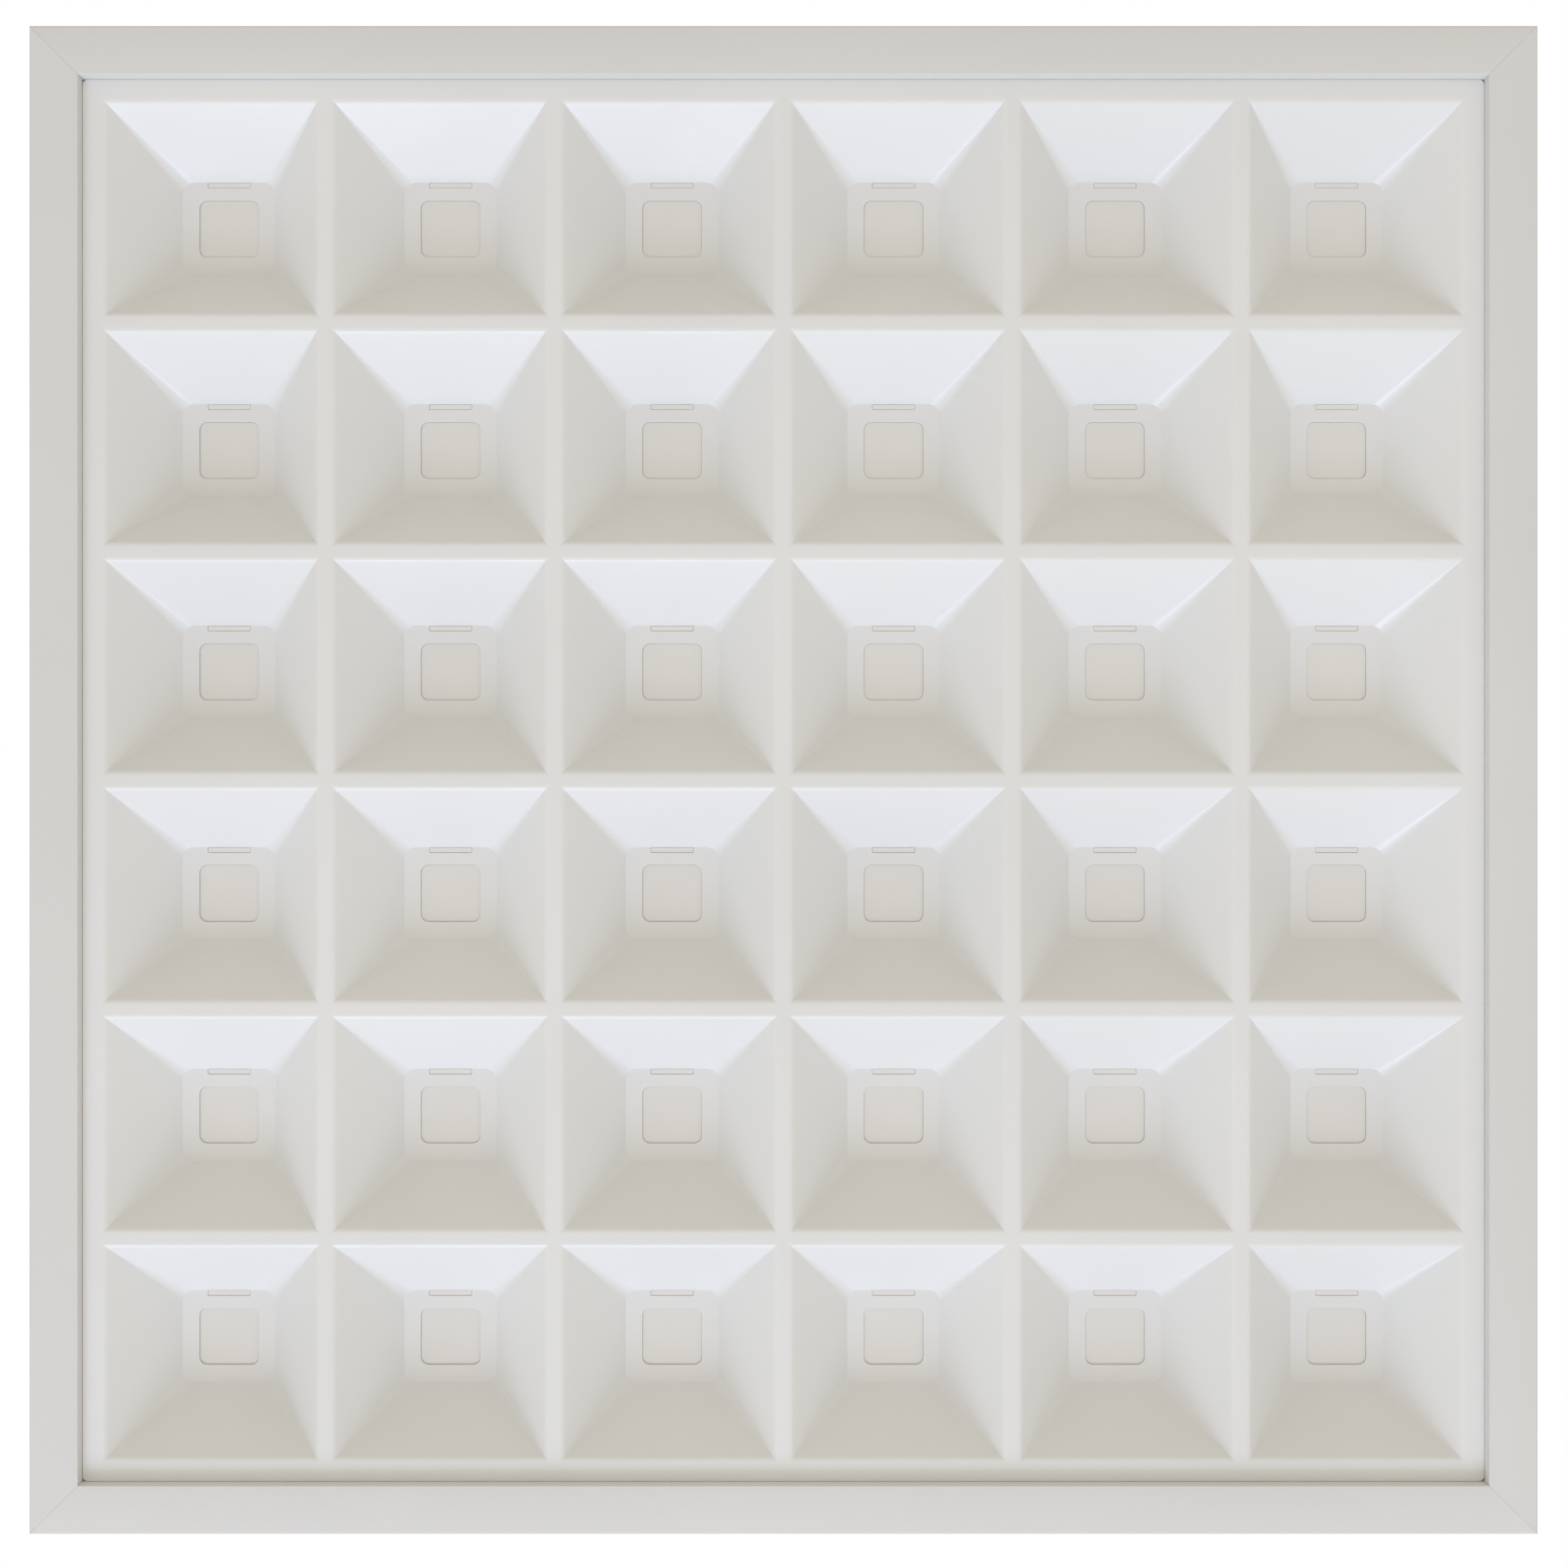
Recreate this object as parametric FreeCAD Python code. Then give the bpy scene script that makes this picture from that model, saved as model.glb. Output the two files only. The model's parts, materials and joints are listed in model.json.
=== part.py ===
import FreeCAD, Part
import math
import os

from FreeCAD import Vector

# Recessed troffer light for a 600 mm ceiling module, in millimetres.
# The light shines down: the trim's face lies at Z = 0 and +Z points up into the ceiling void.
# The origin is the middle of that face. Left and right are -X and +X, front and back are -Y and +Y.

# ---- Outline -------------------------------------------------------------------------------
overall_size = 595.0
flange_width = 19.25
panel_gap = 0.3
step_depth = 5.0

# ---- Trim rails and their corner keys ------------------------------------------------------
rail_plate = 1.5
rail_web = 1.5
rail_web_height = 33.2
rail_seat_width = 9.0
rail_seat_thickness = 1.2
rail_lip_height = 4.0
rail_lip_thickness = 1.2
rail_edge_radius = 1.0
mitre_gap = 0.12
hook_offset = 6.4
hook_post = 1.2
hook_reach = 1.2
hook_thickness = 1.0
channel_height = 2.4
key_clearance = 0.1
key_arm = 38.0
key_screw_inset = 8.0
key_screw_radius = 1.95
key_screw_head_radius = 3.2
key_screw_head_height = 2.0
screw_hole_clearance = 0.05
fastener_sides = 6
turned_sides = 12
same_place = 0.01

# ---- Reflector grid ------------------------------------------------------------------------
cell_count = 6
rim_width = 8.7
rib_width = 6.6
rib_edge_radius = 3.0
cup_depth = 25.5
throat_size = 38.0
throat_corner_radius = 5.0
throat_corner_flat_count = 3
cup_wall = 2.4
face_thickness = 1.8
skirt_thickness = 1.8
skirt_height = 15.0
panel_corner_radius = 2.0
panel_edge_radius = 0.8
boss_radius = 4.0
boss_pilot_radius = 1.3
boss_pilot_depth = 12.0
boss_rib_count = 2

# ---- Lens holders, lenses, LED boards ------------------------------------------------------
holder_thickness = 1.5
holder_width = 44.0
window_size = 24.0
window_corner_radius = 3.2
window_corner_flat_count = 2
lens_thickness = 1.5
lens_pad_clearance = 0.3
lens_pad_rise = 0.7
lens_wall = 1.5
optical_gap = 2.5
board_thickness = 1.6
board_width = 44.0
board_end_margin = 1.5
led_size = 5.0
led_height = 0.8
board_screw_radius = 1.5
board_screw_head_radius = 2.6
board_screw_head_height = 1.6
connector_width = 10.0
connector_length = 16.0
connector_height = 3.4
connector_gap = 0.8
connector_pole_spacing = 2.4
jumper_radius = 0.8
lead_sides = 8
bend_flat_count = 3

# ---- Housing tray --------------------------------------------------------------------------
tray_thickness = 1.0
pan_wall_inset = 20.5
pan_edge_radius = 3.5
pan_edge_flat_count = 2
pan_corner_flat_count = 4
pan_corner_radius = 10.0
rim_corner_radius = 3.0
bead_width = 16.0
bead_length = 380.0
bead_rise = 1.6
bead_first_x = 90.0
bead_end_flat_count = 6
bead_spacing = 60.0
rim_screw_radius = 1.75
rim_screw_head_radius = 3.0
rim_screw_head_height = 1.8
rim_screw_bite = 5.0
rim_screw_inset = 14.0
rim_screw_spacing = 180.0
boss_screw_head_radius = 2.8
boss_screw_head_height = 1.8
boss_screw_bite = 9.0

# ---- Driver box and its hinged lid ---------------------------------------------------------
box_width = 92.0
box_length = 300.0
box_height = 34.0
box_sheet = 0.8
box_foot = 12.0
box_lip = 12.0
lid_gap = 0.4
lid_side_gap = 0.6
lid_skirt = 8.0
hinge_pin_radius = 1.5
hinge_running_clearance = 0.05
knuckle_radius = 2.9
hinge_standoff = 3.6
hinge_drop = 3.0
hinge_spacing = 200.0
knuckle_length = 12.0
ear_thickness = 1.2
ear_gap = 0.5
pin_head_radius = 2.4
pin_head_length = 1.0
lid_screw_radius = 1.75
lid_screw_head_radius = 4.0
lid_screw_head_height = 2.6
lid_screw_length = 7.0
lid_screw_inset = 7.0
lip_hole_clearance = 0.9

# ---- Driver, terminals and leads in the box ------------------------------------------------
driver_width = 44.0
driver_length = 140.0
driver_height = 26.0
driver_edge_radius = 2.0
driver_clearance = 22.0
driver_lift = 2.5
driver_tab_length = 11.0
driver_tab_thickness = 1.0
driver_tab_offset = 14.0
driver_screw_radius = 1.75
driver_screw_head_radius = 3.2
driver_screw_head_height = 2.0
driver_socket_width = 16.0
driver_socket_length = 8.0
driver_socket_height = 11.0
driver_socket_lift = 5.0
driver_socket_offset = 6.0
driver_pole_spacing = 7.0
block_width = 32.0
block_length = 20.0
block_height = 16.0
block_setback = 33.0
block_pole_spacing = 10.0
block_hole_radius = 2.2
block_hole_height = 7.0
block_screw_radius = 2.0
block_screw_depth = 5.0
block_screw_proud = 1.0
lead_radius = 1.2
lead_bend = 3.0
lead_seat = 2.0
earth_screw_x = 32.0
earth_setback = 52.0
earth_screw_radius = 1.95
earth_screw_head_radius = 3.6
earth_screw_head_height = 2.4
earth_tab_radius = 4.2
earth_tab_thickness = 1.0
earth_head_clearance = 0.3
entry_bore_radius = 4.5
entry_height = 13.0
grommet_neck_radius = 7.0
grommet_flange_radius = 9.5
grommet_flange_thickness = 2.4
clamp_setback = 14.0
clamp_length = 9.0
clamp_half_width = 15.0
clamp_thickness = 3.0
clamp_arch_radius = 5.0
clamp_arch_wall = 2.6
clamp_screw_radius = 1.75
clamp_screw_head_radius = 2.9
clamp_screw_head_height = 2.0
clamp_screw_offset = 11.4
led_lead_radius = 0.9
led_lead_bend = 3.0
led_grommet_x = 12.0
led_grommet_bore = 3.6
led_grommet_neck = 4.8
led_grommet_flange = 6.8
led_grommet_flange_thickness = 1.4

# ---- Ceiling grid clips and hanger brackets ------------------------------------------------
clip_inset = 35.5
clip_y = 190.0
clip_width = 14.0
clip_reach = 46.0
clip_thickness = 1.2
clip_tab_height = 9.0
clip_gap = 0.3
clip_rivet_radius = 2.0
clip_rivet_head_radius = 4.0
clip_rivet_head_height = 1.4
clip_running_clearance = 0.05
clip_shoulder_radius = 3.4
hanger_setback = 33.3
hanger_width = 18.0
hanger_foot = 20.0
hanger_ear = 18.0
hanger_rise = 14.0
hanger_thickness = 1.5
hanger_hole_radius = 2.75
rivet_radius = 1.6
rivet_head_radius = 3.0
rivet_head_height = 0.9
rivet_tail_radius = 2.3

# ---- Levels and pitches worked out from the sizes above ------------------------------------
half_size = overall_size / 2
rim_screw_steps = [-rim_screw_spacing, 0, rim_screw_spacing]
panel_size = overall_size - 2 * flange_width - 2 * panel_gap
cell_pitch = (panel_size - 2 * rim_width + rib_width) / cell_count
cell_opening = cell_pitch - rib_width
cell_centres = [(i - (cell_count - 1) / 2) * cell_pitch for i in range(cell_count)]
rib_crossings = [(i - (cell_count - 2) / 2) * cell_pitch for i in range(cell_count - 1)]
boss_places = rib_crossings[::boss_rib_count]
throat_z = step_depth + cup_depth
holder_top = throat_z + holder_thickness
lens_top = holder_top + lens_thickness
board_bottom = lens_top + optical_gap
board_top = board_bottom + board_thickness
tray_top = board_top + tray_thickness
rim_top = rail_web_height + tray_thickness
strip_length = (cell_count - 1) * cell_pitch + holder_width
web_inset = flange_width - rail_web
seat_inset = flange_width - rail_seat_width
channel_inset = hook_offset + hook_post
channel_width = web_inset - channel_inset
hook_bottom = rail_plate + channel_height
key_width = channel_width - 2 * key_clearance
key_thickness = channel_height - key_clearance
key_inset = channel_inset + key_clearance
key_top = rail_plate + key_thickness
box_top = tray_top + box_height
lid_bottom = box_top + lid_gap
lid_top = lid_bottom + box_sheet
hinge_x = -box_width / 2 - hinge_standoff
hinge_z = box_top - hinge_drop
hinge_places = [-hinge_spacing / 2, hinge_spacing / 2]
clamp_y = box_length / 2 - clamp_setback
block_centre_y = box_length / 2 - block_setback
earth_screw_y = box_length / 2 - earth_setback
driver_back_y = block_centre_y - block_length / 2 - driver_clearance
driver_centre_y = driver_back_y - driver_length / 2
driver_front_y = driver_back_y - driver_length
connector_x = strip_length / 2 + connector_gap + connector_width / 2
board_length = 2 * (connector_x + connector_width / 2 + board_end_margin)
clip_bottom = tray_top + clip_gap
hanger_y = rib_crossings[-1]
hanger_x = hanger_y + hanger_setback
clip_x = half_size - clip_inset


# ---- Small helpers -------------------------------------------------------------------------
def slab(width, length, z0, z1, x=0.0, y=0.0):
    """A plain block, centred on x and y, between two levels."""
    return Part.makeBox(width, length, z1 - z0, Vector(x - width / 2, y - length / 2, z0))


def rounded_wire(width, length, radius, z):
    """A closed rectangle with round corners, centred on the Z axis."""
    arcs = []
    for quarter in range(4):
        side_x = (1, -1, -1, 1)[quarter]
        side_y = (1, 1, -1, -1)[quarter]
        centre = Vector(side_x * (width / 2 - radius), side_y * (length / 2 - radius), z)
        angles = [math.radians(90 * quarter + step) for step in (0, 45, 90)]
        spokes = [centre + Vector(math.cos(a), math.sin(a), 0) * radius for a in angles]
        arcs.append(Part.Arc(*spokes).toShape())
    edges = []
    for index, arc in enumerate(arcs):
        edges.append(Part.makeLine(arcs[index - 1].Vertexes[-1].Point, arc.Vertexes[0].Point))
        edges.append(arc)
    return Part.Wire(edges)


def upright(points, z0, z1):
    """A flat outline raised between two levels."""
    return prism([Vector(x, y, z0) for x, y in points], Vector(0, 0, z1 - z0))


def ring_points(radius, sides, x=0.0, y=0.0):
    """The corners of a regular outline whose flats lie at a radius from its middle."""
    corner = radius / math.cos(math.pi / sides)
    angles = [math.pi * (2 * i + 1) / sides for i in range(sides)]
    return [(x + corner * math.cos(a), y + corner * math.sin(a)) for a in angles]


def faceted_post(radius, z0, z1, x=0.0, y=0.0):
    """An upright post with a few flat sides, for fasteners that repeat and for their holes."""
    return upright(ring_points(radius, fastener_sides, x, y), z0, z1)


def sided_bar(radius, sides, start, end):
    """A bar with flat sides from one point to another."""
    turn = FreeCAD.Rotation(Vector(0, 0, 1), end - start)
    corners = [start + turn.multVec(Vector(x, y, 0)) for x, y in ring_points(radius, sides)]
    return prism(corners, end - start)


def softened_ring(size, radius, flats, z):
    """The corners of a level square round the Z axis, each of its round corners cut into a few flats."""
    points = []
    for quarter, corner in enumerate(square(size - 2 * radius, z)):
        for step in range(flats + 1):
            angle = math.radians(90 * quarter + 90 * step / flats)
            points.append(corner + Vector(math.cos(angle), math.sin(angle), 0) * radius)
    return points


def softened_square(size, radius, z0, z1, x=0.0, y=0.0):
    """A square block whose round corners are a few flats each."""
    ring = softened_ring(size, radius, window_corner_flat_count, z0)
    return prism([point + Vector(x, y, 0) for point in ring], Vector(0, 0, z1 - z0))


def rounded_slab(width, length, radius, z0, z1, x=0.0, y=0.0):
    """A plate with round upright corners."""
    plate = Part.Face(rounded_wire(width, length, radius, z0)).extrude(Vector(0, 0, z1 - z0))
    plate.translate(Vector(x, y, 0))
    return plate


def joined(bottom, top):
    """A closed solid between two outlines with as many points each, joined by flat faces.

    Where a point of an outline repeats, the faces that meet there are triangles.
    """
    faces = []
    for ring in (bottom, top):
        corners = [point for i, point in enumerate(ring) if point.distanceToPoint(ring[i - 1]) > 1e-6]
        faces.append(Part.Face(Part.makePolygon(corners + corners[:1])))
    for i in range(len(bottom)):
        ring = [bottom[i - 1], bottom[i], top[i], top[i - 1]]
        corners = [point for k, point in enumerate(ring) if point.distanceToPoint(ring[k - 1]) > 1e-6]
        faces.append(Part.Face(Part.makePolygon(corners + corners[:1])))
    solid = Part.makeSolid(Part.makeShell(faces))
    if solid.Volume < 0:
        solid.reverse()
    return solid


def square(size, z):
    """The four corners of a level square round the Z axis."""
    return [Vector(x * size / 2, y * size / 2, z) for x, y in ((1, 1), (-1, 1), (-1, -1), (1, -1))]


def pyramid(bottom_size, z0, top_size, z1):
    """A square block that tapers between two levels."""
    return joined(square(bottom_size, z0), square(top_size, z1))


def pressed_dome(size, corner_radius, edge_radius, z0, z1):
    """A square block whose upright corners and upper edge are rounded off in a few flats."""
    rings = [softened_ring(size, corner_radius, pan_corner_flat_count, z0)]
    for step in range(pan_edge_flat_count + 1):
        angle = math.pi / 2 * step / pan_edge_flat_count
        inset = edge_radius * (1 - math.cos(angle))
        level = z1 - edge_radius * (1 - math.sin(angle))
        rings.append(softened_ring(size - 2 * inset, corner_radius - inset, pan_corner_flat_count, level))
    layers = [joined(lower, upper) for lower, upper in zip(rings, rings[1:])]
    return layers[0].multiFuse(layers[1:]).removeSplitter()


def post(radius, z0, z1, x=0.0, y=0.0):
    """An upright cylinder."""
    return Part.makeCylinder(radius, z1 - z0, Vector(x, y, z0))


def long_slot(width, length, z0, z1, x=0.0):
    """A long block along Y with round ends, each in a few flats."""
    points = []
    for side in (1, -1):
        for step in range(bead_end_flat_count + 1):
            angle = math.pi * step / bead_end_flat_count + (0 if side > 0 else math.pi)
            middle_y = side * (length - width) / 2
            points.append((x + width / 2 * math.cos(angle), middle_y + width / 2 * math.sin(angle)))
    return upright(points, z0, z1)


def rod(radius, start, end):
    """A cylinder from one point to another."""
    along = end - start
    return Part.makeCylinder(radius, along.Length, start, along)


def prism(points, along):
    """A flat outline pushed along a vector."""
    return Part.Face(Part.makePolygon(points + points[:1])).extrude(along)


def screw(place, seat_z, head, shank, up=1):
    """A screw whose head, given as radius and height, stands on seat_z; its shank goes the other way."""
    head_solid = faceted_post(head[0], *sorted((seat_z, seat_z + up * head[1])), *place)
    shank_solid = faceted_post(shank[0], *sorted((seat_z, seat_z - up * shank[1])), *place)
    return head_solid.fuse(shank_solid)


def rivet(place, z0, z1):
    """A blind rivet through sheet that lies between two levels: head above, tail below."""
    shank = faceted_post(rivet_radius, z0, z1, *place)
    head = faceted_post(rivet_head_radius, z1, z1 + rivet_head_height, *place)
    tail = faceted_post(rivet_tail_radius, z0 - rivet_head_height, z0, *place)
    return shank.multiFuse([head, tail])


def holes(places, radius, z0, z1):
    """Upright fastener holes at each place, as a list of cutters."""
    return [faceted_post(radius, z0, z1, *place) for place in places]


def lead_path(points, bend):
    """The points of a wire's middle line, with each corner rounded in equal steps."""
    path = [points[0]]
    for before, corner, after in zip(points, points[1:], points[2:]):
        back = (before - corner).normalize()
        ahead = (after - corner).normalize()
        half_angle = back.getAngle(ahead) / 2
        centre = corner + (back + ahead).normalize() * (bend / math.sin(half_angle))
        spoke = corner + back * (bend / math.tan(half_angle)) - centre
        for step in range(bend_flat_count + 1):
            degrees = (180 - 2 * math.degrees(half_angle)) * step / bend_flat_count
            path.append(centre + FreeCAD.Rotation(ahead.cross(back), degrees).multVec(spoke))
    return path + [points[-1]]


def lead(points, radius, bend):
    """A wire with flat sides, mitred from step to step along its path."""
    path = lead_path(points, bend)
    runs = [(end - start).normalize() for start, end in zip(path, path[1:])]
    turn = FreeCAD.Rotation(Vector(0, 0, 1), runs[0])
    ring = [path[0] + turn.multVec(Vector(x, y, 0)) for x, y in ring_points(radius, lead_sides)]
    faces = [Part.Face(Part.makePolygon(ring + ring[:1]))]
    for place, run, next_run in zip(path[1:], runs, runs[1:] + runs[-1:]):
        mitre = run + next_run
        moved = [point + run * ((place - point).dot(mitre) / run.dot(mitre)) for point in ring]
        for i in range(lead_sides):
            corners = [ring[i - 1], ring[i], moved[i], moved[i - 1]]
            faces.append(Part.Face(Part.makePolygon(corners + corners[:1])))
        ring = moved
    faces.append(Part.Face(Part.makePolygon(ring + ring[:1])))
    wire = Part.makeSolid(Part.makeShell(faces))
    if wire.Volume < 0:
        wire.reverse()
    return wire


def turned(shape, quarters):
    """A copy turned about the Z axis by a number of quarter turns."""
    copy = shape.copy()
    copy.rotate(Vector(0, 0, 0), Vector(0, 0, 1), 90 * quarters)
    return copy


def on_every_side(shapes):
    """Copies of the shapes of one side, turned to all four sides."""
    return [turned(shape, quarters) for quarters in range(4) for shape in shapes]


# ---- Trim ----------------------------------------------------------------------------------
def trim_rail():
    """The front rail: flange, web, tray seat and corner-key channel, mitred at both ends."""
    lip = rail_lip_thickness
    hook_in = channel_inset + hook_reach
    web_hook = web_inset - hook_reach
    hook_top = hook_bottom + hook_thickness
    seat_under = rail_web_height - rail_seat_thickness
    section = [
        (0, 0), (flange_width, 0), (flange_width, rail_web_height), (seat_inset, rail_web_height),
        (seat_inset, seat_under), (web_inset, seat_under), (web_inset, hook_top), (web_hook, hook_top),
        (web_hook, hook_bottom), (web_inset, hook_bottom), (web_inset, rail_plate),
        (channel_inset, rail_plate), (channel_inset, hook_bottom), (hook_in, hook_bottom),
        (hook_in, hook_top), (hook_offset, hook_top), (hook_offset, rail_plate), (lip, rail_plate),
        (lip, rail_lip_height), (0, rail_lip_height),
    ]
    points = [Vector(-half_size, inset - half_size, z) for inset, z in section]
    bar = prism(points, Vector(overall_size, 0, 0))
    corner = Vector(0, -half_size, 0)
    outer_edge = [edge for edge in bar.Edges if edge.CenterOfMass.distanceToPoint(corner) < same_place]
    bar = bar.makeFillet(rail_edge_radius, outer_edge)
    hole_radius = rim_screw_radius + screw_hole_clearance
    seat_holes = holes(rim_screw_places(), hole_radius, seat_under, rail_web_height)
    shift = mitre_gap / math.sqrt(2)
    wedge = upright([(-half_size, -half_size - shift), (half_size, -half_size - shift), (0, -shift)],
                    0, rail_web_height)
    return bar.cut(seat_holes).common(wedge)


def key_screw_places():
    """Where the two screws of the front-left corner key stand."""
    along = -half_size + key_inset + key_arm - key_screw_inset
    across = -half_size + key_inset + key_width / 2
    return [(along, across), (across, along)]


def corner_keys():
    """Four flat angles, each of which slides into the channels of two rails."""
    near = key_inset - half_size
    inner = near + key_width
    far = near + key_arm
    outline = [(near, near), (far, near), (far, inner), (inner, inner), (inner, far), (near, far)]
    points = [Vector(x, y, rail_plate) for x, y in outline]
    key = prism(points, Vector(0, 0, key_thickness))
    key = key.cut(holes(key_screw_places(), key_screw_radius + screw_hole_clearance, rail_plate, key_top))
    return Part.makeCompound(on_every_side([key]))


def corner_key_screws():
    """Eight set screws that press the keys against the backs of the flanges."""
    head = (key_screw_head_radius, key_screw_head_height)
    shank = (key_screw_radius, key_thickness)
    pair = [screw(place, key_top, head, shank) for place in key_screw_places()]
    return Part.makeCompound(on_every_side(pair))


# ---- Reflector and optics ------------------------------------------------------------------
def shoulder_profile():
    """Where a rib's rounded shoulder leaves the face, bulges and meets the cup's wall, in X and Z."""
    slope = math.atan2(cup_depth, (cell_opening - throat_size) / 2)
    centre_x = cell_opening / 2 + rib_edge_radius * math.tan(slope / 2)
    centre_z = step_depth + rib_edge_radius
    points = []
    for angle in (0, slope / 2, slope):
        x = centre_x - rib_edge_radius * math.sin(angle)
        points.append((x, centre_z - rib_edge_radius * math.cos(angle)))
    return points


def cup_air():
    """The air in one cup: square at the mouth, with corners that round off towards the throat."""
    foot_x, foot_z = shoulder_profile()[2]
    foot = square(2 * foot_x, foot_z)
    sharp = [corner for corner in foot for step in range(throat_corner_flat_count + 1)]
    round_off = softened_ring(throat_size, throat_corner_radius, throat_corner_flat_count, throat_z)
    mouth = joined(square(cell_opening, step_depth), foot)
    return mouth.fuse(joined(sharp, round_off))


def rib_shoulders():
    """The air in front of the rounded shoulders of all the ribs: two sets of grooves that cross."""
    right = [Vector(x, 0, z) for x, z in shoulder_profile()]
    left = [Vector(-point.x, 0, point.z) for point in right]
    edges = [
        Part.Arc(*right).toShape(), Part.makeLine(right[2], left[2]),
        Part.Arc(left[2], left[1], left[0]).toShape(), Part.makeLine(left[0], right[0]),
    ]
    face = Part.Face(Part.Wire(edges))
    groove = face.extrude(Vector(0, panel_size, 0)).translated(Vector(0, -panel_size / 2, 0))
    grooves = [groove.translated(Vector(x, 0, 0)) for x in cell_centres]
    along_y = Part.makeCompound(grooves)
    return along_y.common(turned(along_y, 1))


def in_every_cell(shape):
    """Copies of a shape, one over each cup."""
    copies = []
    for x in cell_centres:
        for y in cell_centres:
            copies.append(shape.translated(Vector(x, y, 0)))
    return copies


def reflector_grid():
    """The white moulding: a ribbed face with thin-walled square cups, a skirt and screw bosses behind."""
    face = rounded_slab(panel_size, panel_size, panel_corner_radius, step_depth, step_depth + skirt_height)
    front = [edge for edge in face.Edges if edge.BoundBox.ZMax < step_depth + same_place]
    face = face.makeFillet(panel_edge_radius, front)
    inner_size = panel_size - 2 * skirt_thickness
    hollow = slab(inner_size, inner_size, step_depth + face_thickness, step_depth + skirt_height)
    taper = (cell_opening - throat_size) / cup_depth
    cup_start = step_depth + face_thickness / 2
    cup_base = cell_opening + 2 * cup_wall - taper * face_thickness / 2
    cup = pyramid(cup_base, cup_start, throat_size + 2 * cup_wall, throat_z)
    places = [(x, y) for x in boss_places for y in boss_places]
    bosses = [faceted_post(boss_radius, cup_start, board_top, *place) for place in places]
    pilots = holes(places, boss_pilot_radius, board_top - boss_pilot_depth, board_top)
    body = face.cut(hollow).multiFuse(in_every_cell(cup) + bosses)
    return body.cut(in_every_cell(cup_air()) + pilots).cut(rib_shoulders()).removeSplitter()


def lens_holder(y):
    """A strip behind one row of cups, with a rounded square window at the bottom of each."""
    strip = slab(strip_length, holder_width, throat_z, holder_top, 0, y)
    form = (window_size, window_corner_radius, throat_z, holder_top)
    return strip.cut([softened_square(*form, x, y) for x in cell_centres])


def lens_strip(y):
    """A translucent channel over one LED board, with a raised pad standing in each window."""
    strip = slab(strip_length, holder_width, holder_top, board_bottom, 0, y)
    chamber = slab(strip_length - 2 * lens_wall, holder_width - 2 * lens_wall, lens_top, board_bottom, 0, y)
    pad = window_size - 2 * lens_pad_clearance
    radius = window_corner_radius - lens_pad_clearance
    form = (pad, radius, holder_top - lens_pad_rise, holder_top)
    return strip.cut(chamber).multiFuse([softened_square(*form, x, y) for x in cell_centres])


def board_screw_places(y):
    """Screws that hold one LED board, midway between LEDs."""
    return [(x, y) for x in boss_places]


def led_board(y):
    """A long metal-core circuit board behind one row of cups."""
    board = slab(board_length, board_width, board_bottom, board_top, 0, y)
    hole_radius = board_screw_radius + screw_hole_clearance
    return board.cut(holes(board_screw_places(y), hole_radius, board_bottom, board_top))


def led_packages():
    """One square LED package over every cup, on the front of its board."""
    package = slab(led_size, led_size, board_bottom - led_height, board_bottom)
    return Part.makeCompound(in_every_cell(package))


def board_screws():
    """Screws through the boards into the tray, heads on the side of the LEDs."""
    head = (board_screw_head_radius, board_screw_head_height)
    shank = (board_screw_radius, board_thickness + tray_thickness)
    places = [place for y in cell_centres for place in board_screw_places(y)]
    return Part.makeCompound([screw(place, board_bottom, head, shank, -1) for place in places])


def board_connectors():
    """A small wire connector at the right-hand end of each board."""
    form = (connector_width, connector_length, board_bottom - connector_height, board_bottom)
    return Part.makeCompound([slab(*form, connector_x, y) for y in cell_centres])


def connector_pole_x(pole):
    """Where one of the four wires of a board connector lies: two come from the driver and two go on."""
    return connector_x + (pole - 1.5) * connector_pole_spacing


def board_jumpers():
    """Pairs of short wires from each board's connector to the next."""
    z = board_bottom - connector_height / 2
    wires = []
    for y, next_y in zip(cell_centres, cell_centres[1:]):
        for pole in (2, 3):
            x = connector_pole_x(pole)
            start = Vector(x, y + connector_length / 2, z)
            end = Vector(x, next_y - connector_length / 2, z)
            wires.append(sided_bar(jumper_radius, lead_sides, start, end))
    return Part.makeCompound(wires)


# ---- Housing tray --------------------------------------------------------------------------
def rim_screw_places():
    """The three screws of the front side, through the tray's rim into the rail's seat."""
    return [(along, rim_screw_inset - half_size) for along in rim_screw_steps]


def four_corners(x, y):
    """The four places at plus and minus x and y."""
    return [(side_x * x, side_y * y) for side_x in (-1, 1) for side_y in (-1, 1)]


def hanger_foot_places():
    """One rivet in the foot of each hanger bracket."""
    return four_corners(hanger_x - hanger_ear / 2 - hanger_foot / 2, hanger_y)


def box_rivet_places():
    """Rivets through both feet of the driver box."""
    x = box_width / 2 + box_foot / 2
    return [(side * x, y) for side in (-1, 1) for y in rib_crossings[1:-1]]


def driver_screw_places():
    """A screw at each end tab of the driver."""
    reach = driver_length / 2 + driver_tab_length / 2
    return [(side * driver_tab_offset, driver_centre_y + side * reach) for side in (-1, 1)]


def clamp_screw_places():
    """The two screws of the cable clamp."""
    return [(-clamp_screw_offset, clamp_y), (clamp_screw_offset, clamp_y)]


def led_grommet_place():
    """Where the LED leads pass down through the tray, between the second and third rows of boards."""
    return (led_grommet_x, rib_crossings[1])


def stiffening_bead(x):
    """The outside and the inside of one long pressed bead."""
    outside = long_slot(bead_width, bead_length, board_top, tray_top + bead_rise, x)
    width = bead_width - 2 * tray_thickness
    length = bead_length - 2 * tray_thickness
    inside = long_slot(width, length, board_top, tray_top + bead_rise - tray_thickness, x)
    return outside, inside


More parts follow.
